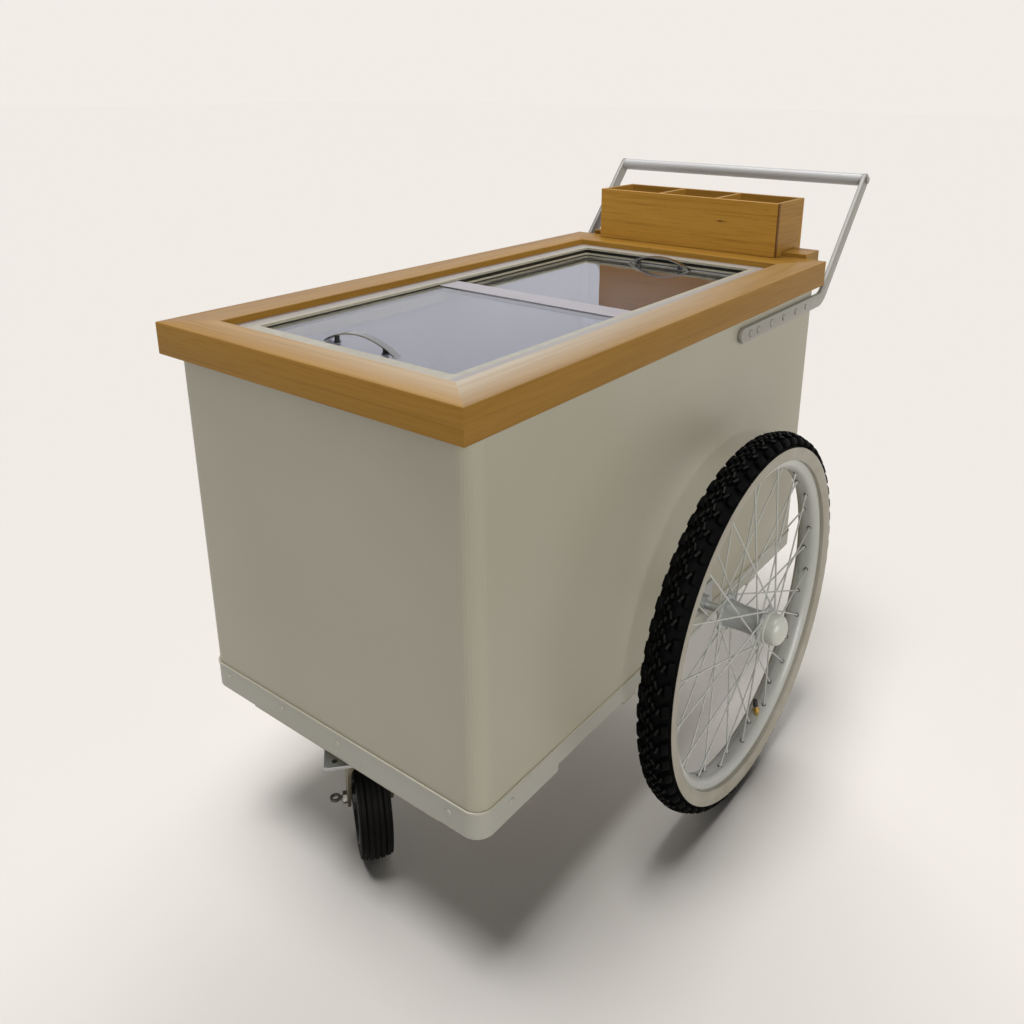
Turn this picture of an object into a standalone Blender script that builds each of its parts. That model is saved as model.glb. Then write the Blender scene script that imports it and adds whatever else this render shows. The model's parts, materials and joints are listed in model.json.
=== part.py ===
"""Ice cream push cart: an insulated freezer box on two spoked wheels and a caster.

Metres, +Z up. The front of the cart faces -Y and its right side is +X. The origin is on
the floor under the middle of the whole cart, push handle included. The sizes along Y are
counted from the middle of the insulated box, which stands ahead of the origin.
"""
import math

import bmesh
import bpy
from mathutils import Matrix, Vector

# Clearances and overruns
SEAT_GAP = 0.0003
CUT_OVERRUN = 0.02
WELD_DISTANCE = 0.00001

# Insulated box
BOX_HALF_WIDTH = 0.285
BOX_HALF_LENGTH = 0.510
BOX_HEIGHT = 0.5522
AXLE_RISE = 0.0575
BOX_WALL = 0.070
BOX_FLOOR = 0.070
BOX_CORNER_RADIUS = 0.025
WELL_CORNER_RADIUS = 0.020
LINER_SHEET = 0.0015
BOX_ARC_STEPS = 8

# Painted band round the foot of the box
BAND_SHEET = 0.002
BAND_DROP = 0.0115
BAND_TOP_RISE = 0.031
BAND_FRONT_LENGTH = 0.170
BAND_BEAD_RISE = 0.003
BAND_BEAD_PROUD = 0.001

# Cross members under the box
MEMBER_HEIGHT = 0.020
MEMBER_DEPTH = 0.040
MEMBER_INSET = 0.006
MEMBER_MID_Y = -0.130
MEMBER_REAR_Y = 0.330
CASTER_BEAM_HEIGHT = 0.030
CASTER_BEAM_DEPTH = 0.120
CASTER_BEAM_INSET = 0.085

# Wooden top frame
FRAME_SIDE_OVERHANG = 0.007
FRAME_END_OVERHANG = 0.0215
FRAME_HEIGHT = 0.048
RAIL_SIDE_WIDTH = 0.065
RAIL_FRONT_WIDTH = 0.060
RAIL_REAR_WIDTH = 0.085
RAIL_EDGE_RADIUS = 0.0015

# Wooden bar behind the frame, which carries the caddy
BAR_END_INSET = 0.0337
BAR_DEPTH = 0.068
BAR_RISE = 0.0078
BAR_HEIGHT = 0.045

# Lid surround: a grooved track with a raised lip, and a flange on its rebate
LIP_DROP = 0.0110
FLANGE_WIDTH = 0.0145
FLANGE_SHEET = 0.0025
LIP_WIDTH = 0.0240
LIP_RISE = 0.0015
TRACK_GROOVE_DEPTH = 0.0120
TRACK_OUTER_RADIUS = 0.0030
TRACK_LIP_RADIUS = 0.0100
TRACK_MOUTH_RADIUS = 0.0040
LID_THICKNESS = 0.0050
LID_LEVEL_GAP = 0.0055
LID_UPPER_DROP = 0.0148
LID_HEADROOM = 0.0012
LID_SIDE_CLEARANCE = 0.0030
LID_END_CLEARANCE = 0.0025
LID_CORNER_RADIUS = 0.0040
FRONT_LID_REAR_Y = -0.008
LID_OVERLAP = 0.037
LID_STRIP_WIDTH = 0.047
LID_STRIP_THICKNESS = 0.0015
LID_STRIP_INSET = 0.0030

# Bow handles on the lids
BOW_SPAN = 0.1245
BOW_HEIGHT = 0.020
BOW_ROD_RADIUS = 0.0032
BOW_FOOT_LENGTH = 0.016
BOW_FOOT_WIDTH = 0.010
BOW_FOOT_THICKNESS = 0.003
FRONT_BOW_INSET = 0.020
REAR_BOW_INSET = 0.012
BOW_STEPS = 12

# Wooden caddy with three compartments
CADDY_END_INSET = 0.0448
CADDY_SHIFT_X = -0.0065
CADDY_LAP = 0.033
CADDY_DEPTH = 0.1285
CADDY_HEIGHT = 0.106
CADDY_PANEL = 0.008
CADDY_COMPARTMENTS = 3
CADDY_NOTCH_CLEARANCE = 0.0006

# Push handle
ARM_THICKNESS = 0.008
ARM_WIDTH = 0.026
ARM_LEVEL_LENGTH = 0.381
ARM_LEVEL_DROP = 0.0257
ARM_BEND_LEAD = 0.0055
ARM_BEND_RADIUS = 0.038
PUSH_BAR_BACK = 0.1845
PUSH_BAR_RISE = 0.141
PUSH_BAR_RADIUS = 0.0125
ARM_END_STEPS = 10
ARM_BEND_STEPS = 8
BAR_BOLT_RADIUS = 0.0075
BAR_BOLT_HEIGHT = 0.004

# Spoked wheels
WHEEL_RADIUS = 0.330
WHEEL_Y = 0.085
WHEEL_STANDOFF = 0.091
TYRE_SECTION_RADIUS = 0.0285
TYRE_STEPS = 48
TYRE_SECTION_STEPS = 10
TYRE_HEIGHT = 0.043
RIM_LIP_HEIGHT = 0.019
RIM_HALF_WIDTH = 0.0175
RIM_BED_HALF_WIDTH = 0.0110
WHITEWALL_PROUD = 0.001
WHITEWALL_INSET = 0.022
WHITEWALL_STEPS = 3
SPOKE_COUNT = 36
SPOKE_CROSSINGS = 3
SPOKE_RADIUS = 0.0015
SPOKE_EMBED = 0.005
SPOKE_SIDES = 6
HUB_FLANGE_RADIUS = 0.036
HUB_FLANGE_THICKNESS = 0.003
HUB_FLANGE_OFFSET = 0.036
HUB_HOLE_RADIUS = 0.032
HUB_BARREL_RADIUS = 0.024
HUB_WAIST_RADIUS = 0.022
HUB_NECK_RADIUS = 0.016
HUB_NECK_LENGTH = 0.006
HUB_BORE_RADIUS = 0.0081
HUB_STEPS = 24
CAP_RADIUS = 0.028
CAP_LENGTH = 0.034
CAP_WALL = 0.0025
CAP_DOME_SHARE = 0.55
VALVE_RADIUS = 0.0045
VALVE_LENGTH = 0.040
VALVE_ANGLE_DEG = 20.0

# Stub axles and their plates on the side walls
AXLE_RADIUS = 0.0075
AXLE_PLATE_SHEET = 0.004
AXLE_PLATE_HALF_LENGTH = 0.045
AXLE_PLATE_HALF_HEIGHT = 0.024
AXLE_PLATE_RISE = 0.002
AXLE_BOSS_RADIUS = 0.017
AXLE_BOSS_LENGTH = 0.014
AXLE_END_RUN = 0.052

# Swivel caster
SWIVEL_INSET = 0.069
CASTER_TRAIL = 0.044
CASTER_HEADING_DEG = 54.2
CASTER_TYRE_WIDTH = 0.051
CASTER_TYRE_SHARE = 0.26
CASTER_SHOULDER_WIDTH = 0.007
CASTER_SHOULDER_DROP = 0.010
CASTER_GROOVES = 4
CASTER_GROOVE_WIDTH = 0.004
CASTER_GROOVE_DEPTH = 0.003
CASTER_HUB_RADIUS = 0.022
CASTER_HUB_WIDTH = 0.058
CASTER_DISC_WIDTH = 0.018
CASTER_RIM_SHEET = 0.004
CASTER_BORE_RADIUS = 0.0066
CASTER_BOLT_RADIUS = 0.006
CASTER_BOLT_HEAD_RADIUS = 0.010
CASTER_BOLT_HEAD_LENGTH = 0.006
CASTER_STEPS = 36
FORK_SHEET = 0.005
FORK_CLEARANCE = 0.0025
FORK_TOP_HALF_DEPTH = 0.034
FORK_FOOT_RADIUS = 0.016
FORK_WHEEL_CLEARANCE = 0.0245
FORK_CROWN_DROP = 0.016
FORK_SHOULDER_RADIUS = 0.017
FORK_STEPS = 6
RACE_RADIUS = 0.030
RACE_HEIGHT = 0.0121
PLATE_HALF_WIDTH = 0.066
PLATE_HALF_DEPTH = 0.0565
PLATE_SHEET = 0.005
PLATE_TURN_DEG = 48.0
PLATE_CORNER_RADIUS = 0.006
LEVER_REACH = 0.0195
LEVER_RING_RADIUS = 0.0085
LEVER_HOLE_RADIUS = 0.0050
LEVER_STEM_WIDTH = 0.0075
LEVER_THICKNESS = 0.0040
LEVER_SWEEP_DEG = 17.0

PALE_PAINT = (0.56, 0.54, 0.47, 1.0)
BAND_PAINT = (0.52, 0.52, 0.47, 1.0)
HONEY_WOOD = (0.50, 0.31, 0.13, 1.0)
SATIN_ALUMINIUM = (0.63, 0.62, 0.60, 1.0)
CREAM_PLASTIC = (0.68, 0.66, 0.58, 1.0)
CLEAR_GLASS = (0.60, 0.64, 0.66, 0.35)
BRIGHT_CHROME = (0.72, 0.72, 0.72, 1.0)
BLACK_RUBBER = (0.02, 0.02, 0.018, 1.0)
WHITE_RUBBER = (0.58, 0.56, 0.51, 1.0)
PAINTED_WHEEL = (0.60, 0.59, 0.55, 1.0)
ZINC_STEEL = (0.50, 0.52, 0.51, 1.0)
GOLDEN_BRASS = (0.66, 0.48, 0.17, 1.0)
WHITE_LINER = (0.78, 0.79, 0.80, 1.0)

# Places that follow from the sizes above
BOX_BOTTOM = WHEEL_RADIUS - AXLE_RISE
PLATE_TOP = BOX_BOTTOM - SEAT_GAP - CASTER_BEAM_HEIGHT - SEAT_GAP
FORK_CROWN_TOP = PLATE_TOP - PLATE_SHEET - RACE_HEIGHT - SEAT_GAP
CASTER_RADIUS = (FORK_CROWN_TOP - FORK_WHEEL_CLEARANCE) / 2
CASTER_TYRE_INNER_RADIUS = CASTER_RADIUS * (1 - CASTER_TYRE_SHARE)
BOX_TOP = BOX_BOTTOM + BOX_HEIGHT
FRAME_HALF_WIDTH = BOX_HALF_WIDTH + FRAME_SIDE_OVERHANG
FRAME_HALF_LENGTH = BOX_HALF_LENGTH + FRAME_END_OVERHANG
FRAME_TOP = BOX_TOP + SEAT_GAP + FRAME_HEIGHT
BAR_HALF_WIDTH = BOX_HALF_WIDTH - BAR_END_INSET
CADDY_HALF_WIDTH = BAR_HALF_WIDTH - CADDY_END_INSET
CADDY_FRONT_Y = FRAME_HALF_LENGTH - CADDY_LAP
PUSH_BAR_Y = FRAME_HALF_LENGTH + PUSH_BAR_BACK
PUSH_BAR_Z = FRAME_TOP + PUSH_BAR_RISE
ARM_BEND_Y = FRAME_HALF_LENGTH - ARM_BEND_LEAD
ARM_LEVEL_Z = BOX_TOP - ARM_LEVEL_DROP
RIM_LIP_RADIUS = WHEEL_RADIUS - TYRE_HEIGHT
RIM_BED_RADIUS = RIM_LIP_RADIUS - RIM_LIP_HEIGHT
WHEEL_CENTRE_X = BOX_HALF_WIDTH + WHEEL_STANDOFF
SWIVEL_Y = -BOX_HALF_LENGTH + SWIVEL_INSET
WELL_HALF_WIDTH = FRAME_HALF_WIDTH - RAIL_SIDE_WIDTH - SEAT_GAP
WELL_FRONT_Y = -FRAME_HALF_LENGTH + RAIL_FRONT_WIDTH + SEAT_GAP
WELL_REAR_Y = FRAME_HALF_LENGTH - RAIL_REAR_WIDTH - SEAT_GAP
MOUTH_INSET = FLANGE_WIDTH + SEAT_GAP + LIP_WIDTH


def clear_scene():
    """Remove every object, so that the script can be run again."""
    for old in list(bpy.data.objects):
        bpy.data.objects.remove(old, do_unlink=True)


def make_collection(name):
    """Return a new collection that is linked to the scene."""
    collection = bpy.data.collections.new(name)
    bpy.context.scene.collection.children.link(collection)
    return collection


def paint(name, colour, roughness, metallic=0.0):
    """Return a Principled material."""
    material = bpy.data.materials.new(name)
    material.use_nodes = True
    shader = material.node_tree.nodes["Principled BSDF"]
    shader.inputs["Base Color"].default_value = colour
    shader.inputs["Roughness"].default_value = roughness
    shader.inputs["Metallic"].default_value = metallic
    shader.inputs["Alpha"].default_value = colour[3]
    return material


def mesh_from(bm, name):
    """Turn a bmesh into a mesh with outward faces."""
    bmesh.ops.recalc_face_normals(bm, faces=bm.faces)
    mesh = bpy.data.meshes.new(name)
    bm.to_mesh(mesh)
    bm.free()
    return mesh


def place(name, mesh, material, parent=None, matrix=None):
    """Add a part to the cart's collection."""
    part = bpy.data.objects.new(name, mesh)
    PARTS.objects.link(part)
    mesh.materials.clear()
    mesh.materials.append(material)
    part.parent = parent or BOX_MIDDLE
    if matrix is not None:
        part.matrix_basis = matrix
    mesh.shade_smooth()
    mesh.set_sharp_from_angle(angle=math.radians(35))
    return part


def pivot(name, location, rotation_z=0.0, parent=None, rotation_y=0.0):
    """Add an empty on a joint's axis."""
    empty = bpy.data.objects.new(name, None)
    PARTS.objects.link(empty)
    empty.parent = parent or BOX_MIDDLE
    empty.location = location
    empty.rotation_euler = (0.0, rotation_y, rotation_z)
    return empty


def box_mesh(low, high, name="block"):
    """Return a box between two corners."""
    bm = bmesh.new()
    bmesh.ops.create_cube(bm, size=1.0)
    size = [high[axis] - low[axis] for axis in range(3)]
    middle = [(high[axis] + low[axis]) / 2 for axis in range(3)]
    bmesh.ops.scale(bm, vec=size, verts=bm.verts)
    bmesh.ops.translate(bm, vec=middle, verts=bm.verts)
    return mesh_from(bm, name)


def cylinder_mesh(radius, low, high, steps, name="rod"):
    """Return a cylinder about Z between two heights."""
    bm = bmesh.new()
    bmesh.ops.create_cone(
        bm, cap_ends=True, segments=steps, radius1=radius, radius2=radius, depth=high - low
    )
    bmesh.ops.translate(bm, vec=(0.0, 0.0, (low + high) / 2), verts=bm.verts)
    return mesh_from(bm, name)


def outline_mesh(loops, thickness, name="plate"):
    """Return a flat outline in XY, with its holes, as a solid centred on Z = 0."""
    curve = bpy.data.curves.new(name, "CURVE")
    curve.dimensions = "2D"
    curve.fill_mode = "BOTH"
    curve.extrude = thickness / 2
    for loop in loops:
        spline = curve.splines.new("POLY")
        spline.points.add(len(loop) - 1)
        for point, (x, y) in zip(spline.points, loop):
            point.co = (x, y, 0.0, 1.0)
        spline.use_cyclic_u = True
    return solid_from_curve(curve, name)


def solid_from_curve(curve, name):
    """Turn a curve into a closed mesh and remove the curve."""
    holder = bpy.data.objects.new(name, curve)
    bpy.context.scene.collection.objects.link(holder)
    graph = bpy.context.evaluated_depsgraph_get()
    mesh = bpy.data.meshes.new_from_object(holder.evaluated_get(graph))
    bpy.data.objects.remove(holder, do_unlink=True)
    bpy.data.curves.remove(curve)
    bm = bmesh.new()
    bm.from_mesh(mesh)
    bmesh.ops.remove_doubles(bm, verts=bm.verts, dist=WELD_DISTANCE)
    bmesh.ops.recalc_face_normals(bm, faces=bm.faces)
    bm.to_mesh(mesh)
    bm.free()
    return mesh


def tube_mesh(points, radius, name="tube"):
    """Return a round rod along points, with closed ends."""
    curve = bpy.data.curves.new(name, "CURVE")
    curve.dimensions = "3D"
    curve.bevel_depth = radius
    curve.bevel_resolution = 2
    curve.use_fill_caps = True
    spline = curve.splines.new("POLY")
    spline.points.add(len(points) - 1)
    for point, place_of in zip(spline.points, points):
        point.co = (*place_of, 1.0)
    return solid_from_curve(curve, name)


def turned_mesh(profile, steps, name="turned"):
    """Return the solid of a closed (radius, height) loop turned about Z."""
    bm = bmesh.new()
    verts = [bm.verts.new((radius, 0.0, height)) for radius, height in profile]
    for index, vert in enumerate(verts):
        bm.edges.new((vert, verts[(index + 1) % len(verts)]))
    mesh = bpy.data.meshes.new(name)
    bm.to_mesh(mesh)
    bm.free()
    return screwed(mesh, steps, name)


def screwed(mesh, steps, name):
    """Apply a Screw modifier to a profile and return the closed mesh."""
    holder = bpy.data.objects.new(name, mesh)
    bpy.context.scene.collection.objects.link(holder)
    screw = holder.modifiers.new("turn", "SCREW")
    screw.steps = steps
    screw.render_steps = steps
    screw.use_merge_vertices = True
    screw.merge_threshold = WELD_DISTANCE
    graph = bpy.context.evaluated_depsgraph_get()
    result = bpy.data.meshes.new_from_object(holder.evaluated_get(graph))
    bpy.data.objects.remove(holder, do_unlink=True)
    bm = bmesh.new()
    bm.from_mesh(result)
    bmesh.ops.remove_doubles(bm, verts=bm.verts, dist=WELD_DISTANCE)
    bmesh.ops.recalc_face_normals(bm, faces=bm.faces)
    bm.to_mesh(result)
    bm.free()
    return result


def combine(part, other_mesh, operation, matrix=None, solve_self=False):
    """Add a Boolean modifier whose operand is a hidden guide object."""
    guide = bpy.data.objects.new(part.name + "_" + operation.lower(), other_mesh)
    CUTTERS.objects.link(guide)
    guide.hide_render = True
    guide.display_type = "WIRE"
    guide.parent = part.parent
    guide.matrix_basis = part.matrix_basis.copy() if matrix is None else matrix
    modifier = part.modifiers.new(operation.lower(), "BOOLEAN")
    modifier.operation = operation
    modifier.object = guide
    modifier.solver = "EXACT"
    modifier.use_self = solve_self
    return modifier


def soften(part, width, segments=2):
    """Round the sharp edges of a part."""
    bevel = part.modifiers.new("edge", "BEVEL")
    bevel.width = width
    bevel.segments = segments
    bevel.limit_method = "ANGLE"
    bevel.angle_limit = math.radians(40)
    return bevel


def rectangle(low_x, low_y, high_x, high_y):
    """Return the corners of a rectangle."""
    return [(low_x, low_y), (high_x, low_y), (high_x, high_y), (low_x, high_y)]


def rounded_rectangle(low_x, low_y, high_x, high_y, radius, steps):
    """Return a rectangle with round corners."""
    centres = (
        (high_x - radius, low_y + radius, -90.0),
        (high_x - radius, high_y - radius, 0.0),
        (low_x + radius, high_y - radius, 90.0),
        (low_x + radius, low_y + radius, 180.0),
    )
    points = []
    for centre_x, centre_y, start in centres:
        for step in range(steps + 1):
            angle = math.radians(start + 90.0 * step / steps)
            points.append((centre_x + radius * math.cos(angle), centre_y + radius * math.sin(angle)))
    return points


def around_box(offset, steps=BOX_ARC_STEPS):
    """Return the plan outline of the insulated box, moved outwards by an offset."""
    half_x = BOX_HALF_WIDTH + offset
    half_y = BOX_HALF_LENGTH + offset
    return rounded_rectangle(-half_x, -half_y, half_x, half_y, BOX_CORNER_RADIUS + offset, steps)


def inside_well(inset, radius):
    """Return the opening of the wooden frame, moved inwards."""
    return rounded_rectangle(
        -WELL_HALF_WIDTH + inset, WELL_FRONT_Y + inset, WELL_HALF_WIDTH - inset, WELL_REAR_Y - inset,
        radius, 4
    )


def lift(height):
    """Return a move along Z."""
    return Matrix.Translation((0.0, 0.0, height))


def build_cabinet():
    """Build the insulated box and its liner."""
    height = BOX_TOP - BOX_BOTTOM
    shell = place(
        "cabinet_shell", outline_mesh([around_box(0.0)], height), MATERIALS["pale_paint"],
        matrix=lift(BOX_BOTTOM + height / 2)
    )
    inner_x = BOX_HALF_WIDTH - BOX_WALL
    inner_y = BOX_HALF_LENGTH - BOX_WALL
    cavity_low = BOX_BOTTOM + BOX_FLOOR
    cavity_height = BOX_TOP + CUT_OVERRUN - cavity_low
    cavity = rounded_rectangle(-inner_x, -inner_y, inner_x, inner_y, WELL_CORNER_RADIUS, 4)
    combine(
        shell, outline_mesh([cavity], cavity_height), "DIFFERENCE",
        lift(cavity_low + cavity_height / 2)
    )
    build_liner(inner_x, inner_y, cavity_low)


def build_liner(inner_x, inner_y, cavity_low):
    """Build the thin tub that lines the box."""
    outer_x = inner_x - SEAT_GAP
    outer_y = inner_y - SEAT_GAP
    low = cavity_low + SEAT_GAP
    height = BOX_TOP - low
    tub = rounded_rectangle(-outer_x, -outer_y, outer_x, outer_y, WELL_CORNER_RADIUS, 4)
    liner = place(
        "cabinet_liner", outline_mesh([tub], height), MATERIALS["white_liner"],
        matrix=lift(low + height / 2)
    )
    hollow_x = outer_x - LINER_SHEET
    hollow_y = outer_y - LINER_SHEET
    hollow_low = low + LINER_SHEET
    hollow_height = BOX_TOP + CUT_OVERRUN - hollow_low
    hollow = rounded_rectangle(
        -hollow_x, -hollow_y, hollow_x, hollow_y, WELL_CORNER_RADIUS - LINER_SHEET, 4
    )
    combine(
        liner, outline_mesh([hollow], hollow_height), "DIFFERENCE",
        lift(hollow_low + hollow_height / 2)
    )


def build_base_band():
    """Build the painted band round the foot, which is deeper at the front end."""
    low = BOX_BOTTOM - BAND_DROP
    high = BOX_BOTTOM + BAND_TOP_RISE
    height = high - low
    outer = SEAT_GAP + BAND_SHEET
    band = place(
        "base_band", outline_mesh([around_box(outer), around_box(SEAT_GAP)], height),
        MATERIALS["band_paint"], matrix=lift((low + high) / 2)
    )
    reach = BOX_HALF_WIDTH + CUT_OVERRUN
    rear = BOX_HALF_LENGTH + CUT_OVERRUN
    step_y = BOX_HALF_LENGTH - BAND_FRONT_LENGTH
    combine(
        band,
        box_mesh((-reach, -step_y, low - CUT_OVERRUN), (reach, rear, BOX_BOTTOM)),
        "DIFFERENCE", lift(0.0)
    )
    bead_middle = high - BAND_BEAD_RISE / 2
    bead = outline_mesh([around_box(outer + BAND_BEAD_PROUD), around_box(SEAT_GAP)], BAND_BEAD_RISE)
    combine(band, bead, "UNION", lift(bead_middle))


def build_cross_members():
    """Build the members under the box, with the beam that carries the caster."""
    half = BOX_HALF_WIDTH - MEMBER_INSET
    high = BOX_BOTTOM - SEAT_GAP
    for name, middle in (("cross_member_mid", MEMBER_MID_Y), ("cross_member_rear", MEMBER_REAR_Y)):
        member = place(
            name,
            box_mesh(
                (-half, middle - MEMBER_DEPTH / 2, high - MEMBER_HEIGHT),
                (half, middle + MEMBER_DEPTH / 2, high)
            ),
            MATERIALS["band_paint"]
        )
        soften(member, RAIL_EDGE_RADIUS, 1)
    beam_half = BOX_HALF_WIDTH - CASTER_BEAM_INSET
    beam = place(
        "caster_beam",
        box_mesh(
            (-beam_half, SWIVEL_Y - CASTER_BEAM_DEPTH / 2, high - CASTER_BEAM_HEIGHT),
            (beam_half, SWIVEL_Y + CASTER_BEAM_DEPTH / 2, high)
        ),
        MATERIALS["band_paint"]
    )
    soften(beam, RAIL_EDGE_RADIUS, 1)


def build_top_frame():
    """Build the four mitred rails of the wooden frame and the bar behind it."""
    out_x = FRAME_HALF_WIDTH
    out_y = FRAME_HALF_LENGTH
    in_x = out_x - RAIL_SIDE_WIDTH
    in_front = -out_y + RAIL_FRONT_WIDTH
    in_rear = out_y - RAIL_REAR_WIDTH
    gap = SEAT_GAP
    outlines = {
        "top_rail_front": [(-out_x + gap, -out_y), (out_x - gap, -out_y), (in_x, in_front), (-in_x, in_front)],
        "top_rail_rear": [(-in_x, in_rear), (in_x, in_rear), (out_x - gap, out_y), (-out_x + gap, out_y)],
        "top_rail_right": [(out_x, -out_y + gap), (out_x, out_y - gap), (in_x, in_rear - gap), (in_x, in_front + gap)],
        "top_rail_left": [(-out_x, -out_y + gap), (-in_x, in_front + gap), (-in_x, in_rear - gap), (-out_x, out_y - gap)],
    }
    middle = BOX_TOP + SEAT_GAP + FRAME_HEIGHT / 2
    for name, outline in outlines.items():
        rail = place(
            name, outline_mesh([outline], FRAME_HEIGHT), MATERIALS["honey_wood"], matrix=lift(middle)
        )
        soften(rail, RAIL_EDGE_RADIUS)
    front = FRAME_HALF_LENGTH + SEAT_GAP
    top = FRAME_TOP + BAR_RISE
    bar = place(
        "rear_wood_bar",
        box_mesh((-BAR_HALF_WIDTH, front, top - BAR_HEIGHT), (BAR_HALF_WIDTH, front + BAR_DEPTH, top)),
        MATERIALS["honey_wood"]
    )
    soften(bar, RAIL_EDGE_RADIUS)


def build_lid_surround():
    """Build the grooved track that the lids slide in and the flange on its rebate."""
    flange_top = FRAME_TOP - LIP_DROP
    low = BOX_TOP + SEAT_GAP
    lip_top = flange_top + LIP_RISE
    track = place(
        "lid_track",
        outline_mesh(
            [inside_well(0.0, TRACK_OUTER_RADIUS), inside_well(MOUTH_INSET, TRACK_MOUTH_RADIUS)],
            lip_top - low
        ),
        MATERIALS["cream_plastic"], matrix=lift((low + lip_top) / 2)
    )
    rebate_low = flange_top - FLANGE_SHEET - SEAT_GAP
    rebate_high = lip_top + CUT_OVERRUN
    rebate = outline_mesh(
        [
            inside_well(-CUT_OVERRUN, TRACK_OUTER_RADIUS),
            inside_well(FLANGE_WIDTH + SEAT_GAP, TRACK_LIP_RADIUS)
        ],
        rebate_high - rebate_low
    )
    combine(track, rebate, "DIFFERENCE", lift((rebate_low + rebate_high) / 2))
    groove_inset = MOUTH_INSET - TRACK_GROOVE_DEPTH
    for underside in lid_levels():
        floor = underside - SEAT_GAP
        ceiling = underside + LID_THICKNESS + LID_HEADROOM
        groove = outline_mesh([inside_well(groove_inset, TRACK_MOUTH_RADIUS)], ceiling - floor)
        combine(track, groove, "DIFFERENCE", lift((floor + ceiling) / 2))
    place(
        "lid_flange",
        outline_mesh(
            [inside_well(0.0, TRACK_OUTER_RADIUS), inside_well(FLANGE_WIDTH, TRACK_LIP_RADIUS)],
            FLANGE_SHEET
        ),
        MATERIALS["satin_aluminium"], matrix=lift(flange_top - FLANGE_SHEET / 2)
    )


def lid_levels():
    """Return the undersides of the upper and the lower lid."""
    upper = FRAME_TOP - LID_UPPER_DROP - LID_THICKNESS
    lower = upper - LID_LEVEL_GAP - LID_THICKNESS
    return upper, lower


def build_lids():
    """Build the two sliding glass lids with their strip and bow handles."""
    upper, lower = lid_levels()
    mouth_half = WELL_HALF_WIDTH - MOUTH_INSET
    half = mouth_half + TRACK_GROOVE_DEPTH - LID_SIDE_CLEARANCE
    front_edge = WELL_FRONT_Y + MOUTH_INSET + LID_END_CLEARANCE
    rear_edge = WELL_REAR_Y - MOUTH_INSET - LID_END_CLEARANCE
    front = pivot("front_lid_slide", (0.0, 0.0, 0.0))
    rear = pivot("rear_lid_slide", (0.0, 0.0, 0.0))
    build_glass("front_lid_glass", half, front_edge, FRONT_LID_REAR_Y, upper, front)
    build_glass("rear_lid_glass", half, FRONT_LID_REAR_Y - LID_OVERLAP, rear_edge, lower, rear)
    strip_low = upper + LID_THICKNESS + SEAT_GAP
    strip_half = mouth_half - LID_STRIP_INSET
    strip = place(
        "front_lid_strip",
        box_mesh(
            (-strip_half, FRONT_LID_REAR_Y - LID_STRIP_WIDTH, strip_low),
            (strip_half, FRONT_LID_REAR_Y, strip_low + LID_STRIP_THICKNESS)
        ),
        MATERIALS["cream_plastic"], parent=front
    )
    soften(strip, LID_STRIP_THICKNESS / 3, 1)
    build_bow("front_lid_handle", front_edge + FRONT_BOW_INSET, upper + LID_THICKNESS, front)
    build_bow("rear_lid_handle", rear_edge - REAR_BOW_INSET, lower + LID_THICKNESS, rear)


def build_glass(name, half_width, front_edge, rear_edge, underside, parent):
    """Build one pane."""
    pane = place(
        name,
        outline_mesh(
            [rounded_rectangle(-half_width, front_edge, half_width, rear_edge, LID_CORNER_RADIUS, 3)],
            LID_THICKNESS
        ),
        MATERIALS["clear_glass"], parent=parent, matrix=lift(underside + LID_THICKNESS / 2)
    )
    return pane


def build_bow(name, y, top_of_glass, parent):
    """Build a bow handle across the cart, standing on two feet."""
    base = top_of_glass + SEAT_GAP
    half = BOW_SPAN / 2
    rise = BOW_HEIGHT - BOW_ROD_RADIUS - BOW_FOOT_THICKNESS / 2
    radius = (half * half + rise * rise) / (2 * rise)
    sweep = math.asin(half / radius)
    points = []
    for step in range(BOW_STEPS + 1):
        angle = -sweep + 2 * sweep * step / BOW_STEPS
        height = base + BOW_FOOT_THICKNESS / 2 + rise - radius * (1 - math.cos(angle))
        points.append((radius * math.sin(angle), y, height))
    bow = place(name, tube_mesh(points, BOW_ROD_RADIUS), MATERIALS["bright_chrome"], parent=parent)
    for side in (-1, 1):
        foot = box_mesh(
            (side * half - BOW_FOOT_LENGTH / 2, y - BOW_FOOT_WIDTH / 2, base),
            (side * half + BOW_FOOT_LENGTH / 2, y + BOW_FOOT_WIDTH / 2, base + BOW_FOOT_THICKNESS)
        )
        combine(bow, foot, "UNION", lift(0.0))
    reach = half + BOW_FOOT_LENGTH
    trim = box_mesh(
        (-reach, y - BOW_FOOT_LENGTH, base - CUT_OVERRUN), (reach, y + BOW_FOOT_LENGTH, base)
    )
    combine(bow, trim, "DIFFERENCE", lift(0.0))


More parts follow.
